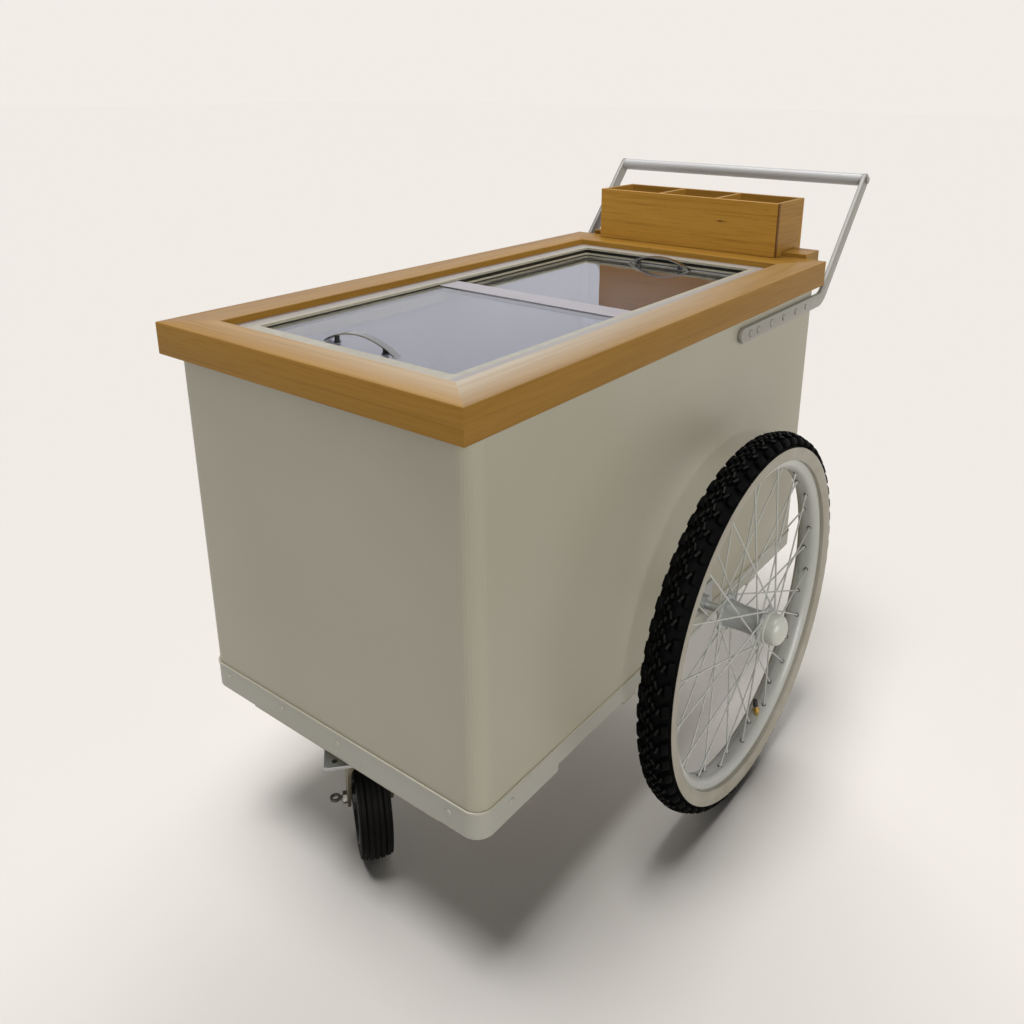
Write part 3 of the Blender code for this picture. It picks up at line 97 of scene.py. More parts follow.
class Finish:
    """A material under construction, with its Principled shader at hand."""

    def __init__(self, name, colour, roughness, metallic=0.0):
        self.material = bpy.data.materials.new(name)
        self.material.use_nodes = True
        self.tree = self.material.node_tree
        self.shader = self.tree.nodes["Principled BSDF"]
        self.shader.inputs["Base Color"].default_value = colour
        self.shader.inputs["Roughness"].default_value = roughness
        self.shader.inputs["Metallic"].default_value = metallic
        self.material.diffuse_color = colour

    def node(self, kind, **settings):
        """Adds a node and sets the named properties of it."""
        node = self.tree.nodes.new(kind)
        for key, value in settings.items():
            setattr(node, key, value)
        return node

    def wire(self, out, into):
        """Joins an output to an input."""
        self.tree.links.new(out, into)

    def feed(self, values, sockets):
        """Wires each pattern into its socket, and types each plain value into it."""
        for value, socket in zip(values, sockets):
            if hasattr(value, "links"):
                self.wire(value, socket)
            else:
                socket.default_value = value

    def place(self, scale=(1.0, 1.0, 1.0), shift=(0.0, 0.0, 0.0)):
        """Object coordinates, scaled along each axis and shifted."""
        coordinates = self.node("ShaderNodeTexCoord")
        mapping = self.node("ShaderNodeMapping")
        mapping.inputs["Scale"].default_value = scale
        mapping.inputs["Location"].default_value = shift
        self.wire(coordinates.outputs["Object"], mapping.inputs["Vector"])
        return mapping.outputs["Vector"]

    def noise(self, where, scale=1.0, detail=3.0, roughness=0.5, distortion=0.0):
        """A soft random pattern from 0 to 1."""
        noise = self.node("ShaderNodeTexNoise")
        noise.inputs["Scale"].default_value = scale
        noise.inputs["Detail"].default_value = detail
        noise.inputs["Roughness"].default_value = roughness
        noise.inputs["Distortion"].default_value = distortion
        self.wire(where, noise.inputs["Vector"])
        return noise.outputs["Fac"]

    def ramp(self, pattern, *stops):
        """Turns a pattern into colours. Each stop is a place and a colour."""
        ramp = self.node("ShaderNodeValToRGB")
        elements = ramp.color_ramp.elements
        while len(elements) < len(stops):
            elements.new(1.0)
        for element, (position, colour) in zip(elements, stops):
            element.position = position
            element.color = colour
        self.wire(pattern, ramp.inputs["Fac"])
        return ramp.outputs["Color"]

    def span(self, pattern, low, high, new_low=0.0, new_high=1.0):
        """Stretches the part of a pattern between low and high to a new range."""
        stretch = self.node("ShaderNodeMapRange")
        values = (low, high, new_low, new_high)
        for key, value in zip(("From Min", "From Max", "To Min", "To Max"), values):
            stretch.inputs[key].default_value = value
        self.wire(pattern, stretch.inputs["Value"])
        return stretch.outputs["Result"]

    def blend(self, first, second, amount):
        """Lays the second colour over the first, by a pattern or a fixed amount."""
        mix = self.node("ShaderNodeMix", data_type="RGBA")
        self.feed((amount, first, second), (mix.inputs[0], mix.inputs[6], mix.inputs[7]))
        return mix.outputs[2]

    def sum(self, first, second, operation="ADD"):
        """Arithmetic on two patterns or numbers."""
        sum_node = self.node("ShaderNodeMath", operation=operation)
        self.feed((first, second), sum_node.inputs[:2])
        return sum_node.outputs[0]

    def colour_from(self, out):
        """Base colour follows a colour output."""
        self.wire(out, self.shader.inputs["Base Color"])

    def colour_so_far(self):
        """The output that now drives the base colour."""
        return self.shader.inputs["Base Color"].links[0].from_socket

    def gloss_from(self, pattern, low, high, rough_low, rough_high):
        """Roughness follows a pattern."""
        roughness = self.span(pattern, low, high, rough_low, rough_high)
        self.wire(roughness, self.shader.inputs["Roughness"])

    def relief(self, pattern, depth, strength=1.0):
        """A pattern raises and sinks the surface by depth metres, on top of earlier relief."""
        bump = self.node("ShaderNodeBump")
        bump.inputs["Distance"].default_value = depth
        bump.inputs["Strength"].default_value = strength
        self.wire(pattern, bump.inputs["Height"])
        normal = self.shader.inputs["Normal"]
        if normal.links:
            self.wire(normal.links[0].from_socket, bump.inputs["Normal"])
        self.wire(bump.outputs["Normal"], normal)


# %% [markdown]
# ## Painted sheet steel
# The box is folded sheet steel under a warm white paint that has greyed a little. Spray
# paint is never quite flat: it has a fine orange peel, and the sheet behind it waves by
# a fraction of a millimetre, which shows as slow changes in the gloss. Small worn specks
# tell that the cart is in use. Flat colour alone would look like plastic.

# %% Paint


def paint(name, colour, worn, roughness=0.42):
    """Sprayed paint: orange peel, slow waves of the sheet and a soft uneven tone."""
    finish = Finish(name, colour, roughness)
    wide = finish.noise(finish.place(), scale=2.2, detail=2.0)
    tone = finish.ramp(wide, (0.3, worn), (0.7, colour))
    specks = finish.noise(finish.place(), scale=38.0, detail=5.0, roughness=0.7)
    marks = finish.span(specks, 0.66, 0.8, 0.0, 0.35)
    finish.colour_from(finish.blend(tone, dimmed(worn, 0.8), marks))
    finish.gloss_from(wide, 0.3, 0.7, roughness + 0.06, roughness - 0.05)
    finish.relief(finish.noise(finish.place(), scale=3.0, detail=1.0), 0.0016, 0.5)
    finish.relief(finish.noise(finish.place(), scale=420.0, detail=2.0), 20 * MICRON, 0.5)
    return finish


body_paint = paint("painted steel body", shade(150, 147, 132), shade(144, 140, 124))
band_paint = paint("painted steel base band", shade(150, 149, 141), shade(141, 139, 128), 0.38)
arm_paint = paint("painted steel handle", shade(134, 132, 125), shade(127, 125, 117), 0.36)
bar_paint = paint("painted push bar", shade(176, 176, 176), shade(168, 167, 166), 0.32)
wheel_paint = paint("painted wheel steel", shade(166, 167, 163), shade(157, 158, 153), 0.3)
# The bead's lighter paint is a painted highlight for the light its roll catches
bead_highlight_paint = paint("paint on the band's bead", shade(172, 167, 150), shade(164, 159, 142), 0.34)
hub_paint = paint("painted wheel hub", shade(146, 149, 148), shade(136, 139, 138), 0.3)
print("paints made")

# %% [markdown]
# ## Varnished wood
# The frame and caddy are solid, honey coloured boards under a thin satin varnish. Four
# patterns make the grain: broad growth bands, dark lines, fine fibres and short pores,
# each stretched along the board. Every board gets a finish of its own, because its grain
# runs along its own length and mustn't run on across a joint, and because no two boards
# are equally light. Part of that lightness is painted light: the caddy's front is made
# much lighter and the right rail darker, for how light falls on them. Old varnish shines
# little, so the specular level is low.

# %% Wood
ALONG_X = 0
ALONG_Y = 1
HONEY = {"light": shade(153, 115, 50), "mid": shade(138, 101, 40), "deep": shade(110, 76, 24)}


def wood(name, along, shift, light=1.0):
    """Varnished wood with its grain along one axis."""

    def stretched(across, length):
        scale = [across, across, across]
        scale[along] = length
        return finish.place(scale=scale, shift=shift)

    pale, mid, deep = (dimmed(HONEY[key], light) for key in ("light", "mid", "deep"))
    finish = Finish(name, mid, 0.36)
    bands = finish.noise(stretched(26.0, 1.2), detail=3.0, distortion=0.2)
    lines = finish.noise(stretched(210.0, 3.0), detail=3.0, roughness=0.6)
    fibres = finish.noise(stretched(420.0, 12.0), detail=3.0, roughness=0.6)
    pores = finish.noise(stretched(640.0, 40.0), detail=2.0)
    grain = finish.ramp(bands, (0.28, mid), (0.72, pale))
    lined = finish.blend(grain, deep, finish.span(lines, 0.50, 0.68, 0.0, 0.42))
    fine = finish.blend(lined, deep, finish.span(fibres, 0.50, 0.72, 0.0, 0.45))
    pored = finish.blend(fine, dimmed(deep, 0.6), finish.span(pores, 0.66, 0.78, 0.0, 0.5))
    finish.colour_from(pored)
    finish.gloss_from(fibres, 0.3, 0.7, 0.32, 0.42)
    finish.relief(fibres, 60 * MICRON, 0.3)
    finish.relief(pores, 60 * MICRON, 0.2)
    finish.shader.inputs["Specular IOR Level"].default_value = 0.08
    return finish


# Each board: the way its grain runs, and how light it is beside the others, partly real
# tone and partly painted light
BOARDS = {
    "top_rail_front": (ALONG_X, 1.1),
    "top_rail_rear": (ALONG_X, 1.0),
    "top_rail_left": (ALONG_Y, 1.0),
    "top_rail_right": (ALONG_Y, 0.92),
    "rear_wood_bar": (ALONG_X, 0.97),
    "caddy_front": (ALONG_X, 1.55),
    "caddy_back": (ALONG_X, 1.15),
    "caddy_floor": (ALONG_X, 0.95),
    "caddy_divider_1": (ALONG_Y, 1.15),
    "caddy_divider_2": (ALONG_Y, 1.15),
    "caddy_end_left": (ALONG_Y, 1.08),
    "caddy_end_right": (ALONG_Y, 0.98),
}
SHIFT_PER_BOARD = (3.7, 5.3, 2.9)
board_finishes = {}
for order, (board, (along, light)) in enumerate(BOARDS.items()):
    shift = [order * step for step in SHIFT_PER_BOARD]
    board_finishes[board] = wood(f"wood {board}", along, shift, light)
print("boards given grain:", len(board_finishes))

# %% [markdown]
# ## A knot in the caddy's front
# The caddy's front board has one small dark knot, a lens shape with a faint tail of bent
# grain. It is a pattern too: the distance from its middle, measured in units of the lens,
# is small inside and large outside. Where the board's end meets the caddy's side there is
# a thin dark line, which is the shadow and the glue in the joint.

# %% Knot


def spot(finish, middle_at, half_size):
    """1 in a lens on an upright board along X, 0 outside it. Places are (x, z)."""
    scale = (1 / half_size[0], 0.0, 1 / half_size[1])
    shift = (-middle_at[0] / half_size[0], 0.0, -middle_at[1] / half_size[1])
    length = finish.node("ShaderNodeVectorMath", operation="LENGTH")
    finish.wire(finish.place(scale=scale, shift=shift), length.inputs[0])
    return finish.span(length.outputs["Value"], 1.0, 0.5)


def axis_value(finish, axis):
    """The Object coordinate along one axis."""
    parts = finish.node("ShaderNodeSeparateXYZ")
    finish.wire(finish.place(), parts.inputs[0])
    return parts.outputs[axis]


TAIL_TONE = shade(96, 60, 16)
TAIL_SHARE = 0.6
TAIL_AT, TAIL_HALF_SIZE = (0.0780, 0.9343), (0.0170, 0.0016)
KNOT_TONE = shade(34, 20, 8)
KNOT_AT, KNOT_HALF_SIZE = (0.0764, 0.9346), (0.0062, 0.0017)
knotted = board_finishes["caddy_front"]
tail = knotted.sum(spot(knotted, TAIL_AT, TAIL_HALF_SIZE), TAIL_SHARE, "MULTIPLY")
knot = spot(knotted, KNOT_AT, KNOT_HALF_SIZE)
tailed = knotted.blend(knotted.colour_so_far(), TAIL_TONE, tail)
knotted.colour_from(knotted.blend(tailed, KNOT_TONE, knot))
print("knot set in the board caddy_front")

# %% Joint line
JOINT_TONE = shade(92, 58, 22)
JOINT_WIDTH = 0.0016
JOINT_FADE = 0.0010
joint_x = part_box("caddy_front")[1].x - JOINT_WIDTH
joint = knotted.span(axis_value(knotted, 0), joint_x - JOINT_FADE, joint_x)
knotted.colour_from(knotted.blend(knotted.colour_so_far(), JOINT_TONE, joint))
print(f"joint line from x {joint_x:.4f}")

# %% [markdown]
# ## Painted glare on the rails
# The frame's top is painted pale along its inner edge, most of all at the front right
# corner: a painted glare for the light the varnish reflects there. Two gradients make that
# paleness, one across the board and one along it, and streaks along the grain break it up.
# The outer sides take an even, darker tone, which is painted shade.

# %% Painted glare and shaded sides on the rails
# The pale tone is painted glare, and the side tone is painted shade
GLARE_TONE = shade(184, 174, 158)
SHADED_SIDE_TONE = dimmed(HONEY["mid"], 0.80)
SIDE_SHADE_SHARE = 0.45
SIDE_FROM_TOP = 0.0008
SIDE_FADE = 0.0010
STREAKS_ACROSS = 150.0
STREAKS_ALONG = 5.0
# How pale the wood is beside full painted glare: where the glare starts, and on a streak
GLARE_AT_START = 0.15
GLARE_ON_STREAK = 0.78
# For each board: the axis across it, its outer and inner edge and how pale the painted
# glare makes it there, then where along it the glare starts and where it is full
GLARED_RAILS = (
    ("top_rail_right", 0, 0.2920, 0.2275, 0.22, 1.0, 0.35, -0.60),
    ("top_rail_front", 1, -0.6300, -0.5705, 0.15, 0.78, -0.30, 0.26),
    ("top_rail_left", 0, -0.2920, -0.2275, 0.05, 0.20, 0.35, -0.60),
)
side_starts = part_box("top_rail_front")[1].z - SIDE_FROM_TOP
for board, axis, outer, inner, least, most, glare_starts, glare_full in GLARED_RAILS:
    finish = board_finishes[board]
    grain = finish.colour_so_far()
    across = finish.span(axis_value(finish, axis), outer, inner, least, most)
    lengthwise = axis_value(finish, 1 - axis)
    along = finish.span(lengthwise, glare_starts, glare_full, GLARE_AT_START, 1.0)
    stretch = [STREAKS_ACROSS] * 3
    stretch[1 - axis] = STREAKS_ALONG
    streaks = finish.noise(finish.place(scale=stretch), detail=3.0)
    unstreaked = finish.span(streaks, 0.35, 0.65, 1.0, GLARE_ON_STREAK)
    broken = finish.sum(along, unstreaked, "MULTIPLY")
    pale = finish.sum(across, broken, "MULTIPLY")
    # Below the top, the sides blend to the darker tone: painted shade
    sides = finish.span(axis_value(finish, 2), side_starts, side_starts - SIDE_FADE)
    top_colour = finish.blend(grain, GLARE_TONE, pale)
    shaded_side_colour = finish.blend(grain, SHADED_SIDE_TONE, SIDE_SHADE_SHARE)
    finish.colour_from(finish.blend(top_colour, shaded_side_colour, sides))
# Every rail in this list has painted glare on its top and painted shade on its sides
print("worn rails:", len(GLARED_RAILS))

# %% [markdown]
# ## Metals, plastics and rubber
# The lid surround is satin aluminium inside a cream plastic track, the lids' handles are
# polished, and the small fasteners are zinc plated, some of them aged. A bare metal is a
# metallic shader with a fine unevenness in its gloss. Plastic and rubber are the same
# even, slightly mottled finish in other tones. Rubber is dusty, so it hardly shines: its
# specular level is set close to nothing.

# %% Metals


def metal(name, colour, roughness):
    """Bare metal whose gloss and surface are uneven by a hair."""
    finish = Finish(name, colour, roughness, 1.0)
    grit = finish.noise(finish.place(), scale=480.0, detail=3.0)
    finish.gloss_from(grit, 0.3, 0.7, roughness * 0.8, roughness * 1.25)
    finish.relief(grit, 15 * MICRON, 0.3)
    return finish


aluminium = metal("satin aluminium", shade(172, 168, 167), 0.4)
chrome = metal("polished steel", shade(158, 157, 153), 0.18)
zinc = metal("zinc plated steel", shade(170, 172, 170), 0.36)
# This aged zinc is real on the caster's bolt and lever. On the rivets' rings it is painted shade,
# and on the nipple washers it is partly painted shade
zinc_dark = metal("aged zinc", shade(96, 94, 88), 0.42)
zinc_olive = metal("yellow passivated steel", shade(104, 97, 78), 0.5)
brass = metal("brass", shade(196, 168, 100), 0.3)
print("metals made")

# %% Plastics and rubber


def plain(name, colour, roughness, deep, scale=60.0, depth=30 * MICRON):
    """Moulded plastic or rubber: an even tone with a soft mottle and a fine skin."""
    finish = Finish(name, colour, roughness)
    mottle = finish.noise(finish.place(), scale=scale, detail=4.0)
    finish.colour_from(finish.ramp(mottle, (0.3, deep), (0.7, colour)))
    finish.gloss_from(mottle, 0.3, 0.7, roughness + 0.05, roughness - 0.05)
    finish.relief(finish.noise(finish.place(), scale=scale * 9, detail=2.0), depth, 0.4)
    return finish


track_plastic = plain("cream track plastic", shade(160, 155, 141), 0.4, shade(152, 147, 132))
tyre_rubber = plain("black tyre rubber", shade(5, 5, 5), 0.6, shade(3, 3, 3))
caster_rubber = plain("dusty caster rubber", shade(12, 11, 10), 0.55, shade(7, 7, 6))
# The lighter rubber on the block tops is a painted glint
glint_rubber = plain("worn tread rubber", shade(32, 31, 27), 0.5, shade(10, 10, 8), 200.0)
for rubber, shine in ((tyre_rubber, 0.03), (caster_rubber, 0.05), (glint_rubber, 0.05)):
    rubber.shader.inputs["Specular IOR Level"].default_value = shine
white_rubber = plain("white sidewall rubber", shade(142, 138, 127), 0.5, shade(134, 128, 115), 24.0)
liner_plastic = plain("white liner", shade(196, 194, 203), 0.4, shade(188, 186, 197), 6.0)
cap_plastic = plain("white hub cap plastic", shade(172, 173, 166), 0.3, shade(165, 165, 157), 18.0)
black_plastic = plain("black plastic", shade(26, 26, 26), 0.4, shade(20, 20, 20))
strip_plastic = plain(
    "clear grey strip", shade(152, 147, 151), 0.35, shade(149, 144, 148), 8.0, 0.0
)
print("plastics and rubber made")

# %% [markdown]
# ## Lid glass
# Each lid is a pane of clear glass in a real slab, so the shader's transmission and the
# slab's own thickness do the work. Wiping leaves faint smears: they are a pattern in the
# roughness, much too weak to cloud the pane.

# %% Glass
GLASS_TINT = (0.89, 0.90, 0.92, 1.0)
GLASS_IOR = 1.5
SMEAR_ROUGHNESS = 0.02


def lid_glass(name, colour):
    """Clear glass in a real slab."""
    finish = Finish(name, colour, 0.0)
    finish.shader.inputs["Transmission Weight"].default_value = 1.0
    finish.shader.inputs["IOR"].default_value = GLASS_IOR
    smears = finish.noise(finish.place(), scale=5.0, detail=4.0)
    finish.gloss_from(smears, 0.35, 0.75, 0.0, SMEAR_ROUGHNESS)
    return finish


clear_glass = lid_glass("clear lid glass", GLASS_TINT)
print("glass made")

# %% [markdown]
# ## The lid track's colours
# The CAD track is one solid, but on the real cart its parts differ: a cream lip round the
# mouth, a grey outer face and a yellowed wall below the lip. The grooves are painted dark,
# as painted shade for the shadow that lies in them. All these are places on one solid, so
# masks made from the Object coordinates pick the colour: how far a point lies outside the
# mouth, and how high it is.

# %% Track colours
MOUTH_SIDE = 0.1888
MOUTH_REAR = 0.3092
MOUTH_FRONT = -0.5312
HAIR = 0.0002
LIP_WIDTH = 0.0080
LIP_FADE = 0.0015
TRACK_REACH = 0.024
WALL_TOP = 0.8629
GROOVE_TOP = 0.8597
OUTER_TONE = shade(146, 141, 138)
WALL_TONE = shade(160, 155, 135)
# The grooves' dark tone is painted shade
GROOVE_SHADE_TONE = shade(64, 62, 54)

track = track_plastic
height = axis_value(track, 2)
lengthwise = axis_value(track, 1)
aside = track.sum(axis_value(track, 0), 0.0, "ABSOLUTE")
beyond_rear = track.span(lengthwise, MOUTH_REAR, MOUTH_REAR + HAIR)
beyond_front = track.span(lengthwise, MOUTH_FRONT, MOUTH_FRONT - HAIR)
beyond_side = track.span(aside, MOUTH_SIDE, MOUTH_SIDE + HAIR)
beyond = track.sum(track.sum(beyond_side, beyond_rear, "MAXIMUM"), beyond_front, "MAXIMUM")
from_side = track.span(aside, MOUTH_SIDE, MOUTH_SIDE + TRACK_REACH, 0.0, TRACK_REACH)
from_rear = track.span(lengthwise, MOUTH_REAR, MOUTH_REAR + TRACK_REACH, 0.0, TRACK_REACH)
from_mouth = track.sum(from_side, from_rear, "MAXIMUM")
outer_face = track.span(from_mouth, LIP_WIDTH, LIP_WIDTH + LIP_FADE)
wall = track.span(height, WALL_TOP, WALL_TOP - 2 * HAIR)
below_lip = track.span(height, GROOVE_TOP, GROOVE_TOP - 1.5 * HAIR)
# Inside the grooves below the lip: painted shade
groove_shade = track.sum(beyond, below_lip, "MULTIPLY")
topped = track.blend(track.colour_so_far(), OUTER_TONE, outer_face)
walled = track.blend(topped, WALL_TONE, wall)
track.colour_from(track.blend(walled, GROOVE_SHADE_TONE, groove_shade))
print("materials so far:", len(bpy.data.materials))

# %% [markdown]
# ## Dress the CAD solids
# The solids came in with flat colours. Each keeps its shape and takes a finish from the
# list below, so the table reads like a maker's parts list. Some of them are replaced
# further down by a piece with more detail; they are dressed too, so that no plain colour
# is left anywhere.

# %% Finishes on the CAD solids


def dress(member, finish):
    """Gives a CAD solid one finish in place of its flat colour."""
    materials = nodes[member].data.materials
    materials.clear()
    materials.append(finish.material)


PARTS_LIST = {
    body_paint: ("cabinet_shell", "cross_member_mid", "cross_member_rear", "caster_beam"),
    band_paint: ("base_band",),
    liner_plastic: ("cabinet_liner",),
    track_plastic: ("lid_track",),
    aluminium: ("lid_flange",),
    clear_glass: ("front_lid_glass", "rear_lid_glass"),
    strip_plastic: ("front_lid_strip",),
    chrome: ("front_lid_handle", "rear_lid_handle"),
    arm_paint: ("handle_arm_left", "handle_arm_right", "bar_bolt_left", "bar_bolt_right"),
    bar_paint: ("push_bar",),
    zinc: ("axle_left", "axle_right", "caster_plate"),
    zinc_olive: ("caster_fork",),
    zinc_dark: ("caster_axle_bolt", "caster_lever"),
    cap_plastic: ("hub_cap_left", "hub_cap_right"),
    white_rubber: ("whitewall_left", "whitewall_right"),
    brass: ("valve_left", "valve_right"),
    tyre_rubber: ("tyre_left", "tyre_right", "caster_tyre"),
    wheel_paint: ("spoked_wheel_left", "spoked_wheel_right"),
    black_plastic: ("caster_core",),
}
for finish, members in PARTS_LIST.items():
    for member in members:
        dress(member, finish)
for board, finish in board_finishes.items():
    dress(board, finish)
painted = sum(len(members) for members in PARTS_LIST.values())
print("solids dressed:", painted + len(board_finishes))

# %% [markdown]
# ## Helpers for modelling
# New pieces are drawn in place, so their place is in the mesh and the object itself stays
# unmoved. Round things are a profile spun about an axis, which is how they are turned on
# a lathe or pressed. Each piece says which part of the cart it moves with and, where it
# shows a CAD solid in more detail, which solid it stands for.

# %% From bmesh to piece
CREASE_DEG = 35.0


def finish_piece(name, bm, finishes, body, stands_for=(), crease=CREASE_DEG):
    """Turns a bmesh into a shown piece that moves with one body.

    With two finishes, each face picks its own by its material number.
    """
    bmesh.ops.remove_doubles(bm, verts=bm.verts, dist=MICRON)
    bmesh.ops.recalc_face_normals(bm, faces=bm.faces)
    mesh = bpy.data.meshes.new(name)
    bm.to_mesh(mesh)
    bm.free()
    mesh.shade_smooth()
    mesh.set_sharp_from_angle(angle=math.radians(crease))
    for finish in finishes if isinstance(finishes, tuple) else (finishes,):
        mesh.materials.append(finish.material)
    piece = bpy.data.objects.new(name, mesh)
    bpy.context.scene.collection.objects.link(piece)
    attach(piece, body)
    if stands_for:
        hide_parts(*stands_for)
    mesh.calc_loop_triangles()
    print(f"{name}: {len(mesh.loop_triangles)} triangles on {body}")


# %% Shapes used often
TURN = 2 * math.pi
X_AXIS = Vector((1.0, 0.0, 0.0))
UP = Vector((0.0, 0.0, 1.0))
OUTWARD = {"left": -1.0, "right": 1.0}


def spun(bm, profile, centre, axis, out, steps, closed=True):
    """Spins a profile of (along the axis, away from the axis) pairs all the way round."""
    points = [bm.verts.new(centre + axis * along + out * away) for along, away in profile]
    pairs = list(zip(points, points[1:]))
    if closed:
        pairs.append((points[-1], points[0]))
    edges = [bm.edges.new(pair) for pair in pairs]
    bmesh.ops.spin(
        bm, geom=points + edges, cent=centre, axis=axis, angle=TURN, steps=steps, use_merge=True
    )


def rod(bm, start, end, radius, sides=8, tip_radius=None):
    """A round bar between two points, thinner or wider at its end if a tip is given."""
    run = end - start
    turn = run.to_track_quat("Z", "Y").to_matrix().to_4x4()
    bmesh.ops.create_cone(
        bm,
        cap_ends=True,
        segments=sides,
        radius1=radius,
        radius2=radius if tip_radius is None else tip_radius,
        depth=run.length,
        matrix=Matrix.Translation((start + end) / 2) @ turn,
    )


def thicken(bm, points, push):
    """Draws a flat face through the points and pushes it out to a solid."""
    face = bm.faces.new([bm.verts.new(point) for point in points])
    pushed = bmesh.ops.extrude_face_region(bm, geom=[face])
    moved = [item for item in pushed["geom"] if isinstance(item, bmesh.types.BMVert)]
    bmesh.ops.translate(bm, vec=push, verts=moved)


def ease(bm, edges, width, segments):
    """Rounds some edges."""
    bmesh.ops.bevel(
        bm, geom=edges, offset=width, affect="EDGES", segments=segments, profile=0.5, material=-1
    )


def both_sides(half):
    """A profile that goes on as its own mirror image, so its ends are alike."""
    return [*half, *((-along, away) for along, away in reversed(half))]


def middle(node):
    """The middle of a CAD solid's box."""
    low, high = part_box(node)
    return (low + high) / 2


print("helpers ready")

# %% [markdown]
# ## Tyres with a block tread
# A bicycle tyre is a carcass, round in section, with rubber blocks moulded on it. The
# carcass is a profile spun round the axle, a little lower at the crown, where the blocks
# stand. One bevelled block is made for each row and copied round the wheel by a spin.
# The outermost rows are big rounded lugs that make the toothed outline. Modelled blocks
# cast real shadows and give that outline, which a bump pattern can't. The tops of some
# rows take a slightly lighter rubber, a painted glint for the light those tops catch. A
# skin of pale rubber hugs both side walls to the rim.

# %% Tyre section
TYRE_SECTION = 0.0285
TREAD_HEIGHT = 0.0060
TREAD_EDGE_DEG = 64.0
TREAD_FADE_DEG = 10.0


def wheel_frame(side):
    """The wheel's middle and its radius."""
    low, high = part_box(f"tyre_{side}")
    return (low + high) / 2, (high.z - low.z) / 2


def section_point(radius, angle, proud=0.0):
    """A point of the tyre's section, as its places along the axle and away from it.

    The carcass is lower under the tread, and comes up to the full section beside it.
    """
    faded = min(1.0, max(0.0, (abs(angle) - TREAD_EDGE_DEG) / TREAD_FADE_DEG))
    reach = TYRE_SECTION - TREAD_HEIGHT * (1.0 - faded) + proud
    turned = math.radians(angle)
    return reach * math.sin(turned), radius - TYRE_SECTION + reach * math.cos(turned)


for side in OUTWARD:
    print(f"{side} wheel: radius {wheel_frame(side)[1]:.4f}")

# %% Tread blocks
# Each row: angle round the section from the crown, blocks in a turn, shift in pitches,
# yaw in degrees, then the block's length, width, how far its top stands from the
# section's middle, its height, the bevel's width and segments, and whether its top takes
# the lighter rubber of a painted glint
TREAD_ROWS = (
    (0.0, 120, 0.0, 0.0, 0.0092, 0.0048, 0.0285, 0.0052, 0.0011, 1, True),
    (12.5, 60, 0.25, 16.0, 0.0135, 0.0048, 0.0284, 0.0052, 0.0011, 1, True),
    (12.5, 60, 0.72, -22.0, 0.0090, 0.0040, 0.0281, 0.0050, 0.0011, 1, False),
    (-12.5, 60, 0.75, -16.0, 0.0135, 0.0048, 0.0284, 0.0052, 0.0011, 1, True),
    (-12.5, 60, 0.22, 22.0, 0.0090, 0.0040, 0.0281, 0.0050, 0.0011, 1, False),
    (27.0, 60, 0.5, -24.0, 0.0130, 0.0056, 0.0285, 0.0054, 0.0012, 1, True),
    (-27.0, 60, 0.0, 24.0, 0.0130, 0.0056, 0.0285, 0.0054, 0.0012, 1, True),
    (51.0, 60, 0.5, 0.0, 0.0215, 0.0125, 0.0303, 0.0090, 0.0030, 2, False),
    (-51.0, 60, 0.0, 0.0, 0.0215, 0.0125, 0.0303, 0.0090, 0.0030, 2, False),
)
FACES_OUTWARD = 0.9


def ring_of_blocks(bm, centre, radius, row):
    """One row of tread blocks: a single block, copied round the wheel."""
    tilt, count, shift, yaw, length, width, reach, height, bevel, segments, worn = row
    one = bmesh.new()
    bmesh.ops.create_cube(one, size=1.0, matrix=Matrix.Diagonal((width, length, 2 * height, 1.0)))
    ease(one, one.edges[:], bevel, segments)
    one.normal_update()
    for face in one.faces:
        # Top faces of rows flagged worn take the lighter rubber: a painted glint
        face.material_index = 1 if worn and face.normal.z > FACES_OUTWARD else 0
    place = (
        Matrix.Translation(centre)
        @ Matrix.Rotation(TURN * shift / count, 4, "X")
        @ Matrix.Translation((0.0, 0.0, radius - TYRE_SECTION))
        @ Matrix.Rotation(math.radians(tilt), 4, "Y")
        @ Matrix.Translation((0.0, 0.0, reach - height))
        @ Matrix.Rotation(math.radians(yaw), 4, "Z")
    )
    bmesh.ops.transform(one, matrix=place, verts=one.verts)
    geom = one.verts[:] + one.edges[:] + one.faces[:]
    last = TURN * (count - 1) / count
    bmesh.ops.spin(
        one, geom=geom, cent=centre, axis=X_AXIS, angle=last, steps=count - 1, use_duplicate=True
    )
    row_mesh = bpy.data.meshes.new("row")
    one.to_mesh(row_mesh)
    one.free()
    bm.from_mesh(row_mesh)
    bpy.data.meshes.remove(row_mesh)


print("tread blocks in a tyre:", sum(row[1] for row in TREAD_ROWS))

# %% Carcass with its tread
CARCASS_STEPS = 120
SIDEWALL_DEG = 122.0
SIDEWALL_STEPS = 26


def add_tyre(side):
    """The black tyre: a spun carcass and every row of blocks."""
    centre, radius = wheel_frame(side)
    bm = bmesh.new()
    profile = [
        section_point(radius, SIDEWALL_DEG * (2 * step / SIDEWALL_STEPS - 1))
        for step in range(SIDEWALL_STEPS + 1)
    ]
    spun(bm, profile, centre, X_AXIS, UP, CARCASS_STEPS)
    for row in TREAD_ROWS:
        ring_of_blocks(bm, centre, radius, row)
    finish_piece(
        f"tread_tyre_{side}", bm, (tyre_rubber, glint_rubber), f"wheel_{side}",
        [f"tyre_{side}"]
    )


print("points of half a carcass:", SIDEWALL_STEPS // 2 + 1)

# %% Tyres and their pale side walls
WHITEWALL_OUTER = 0.0215
WHITEWALL_PROUD = 0.0006
WHITEWALL_SUNK = 0.0004
WHITEWALL_END_DEG = 118.0
WHITEWALL_ARCS = 11
WHITEWALL_STEPS = 144
# Where the skin turns in under the widest part and meets the rim: along, away
WHITEWALL_TURN = ((0.0250, 0.2862), (0.0216, 0.2855), (0.0179, 0.2856))


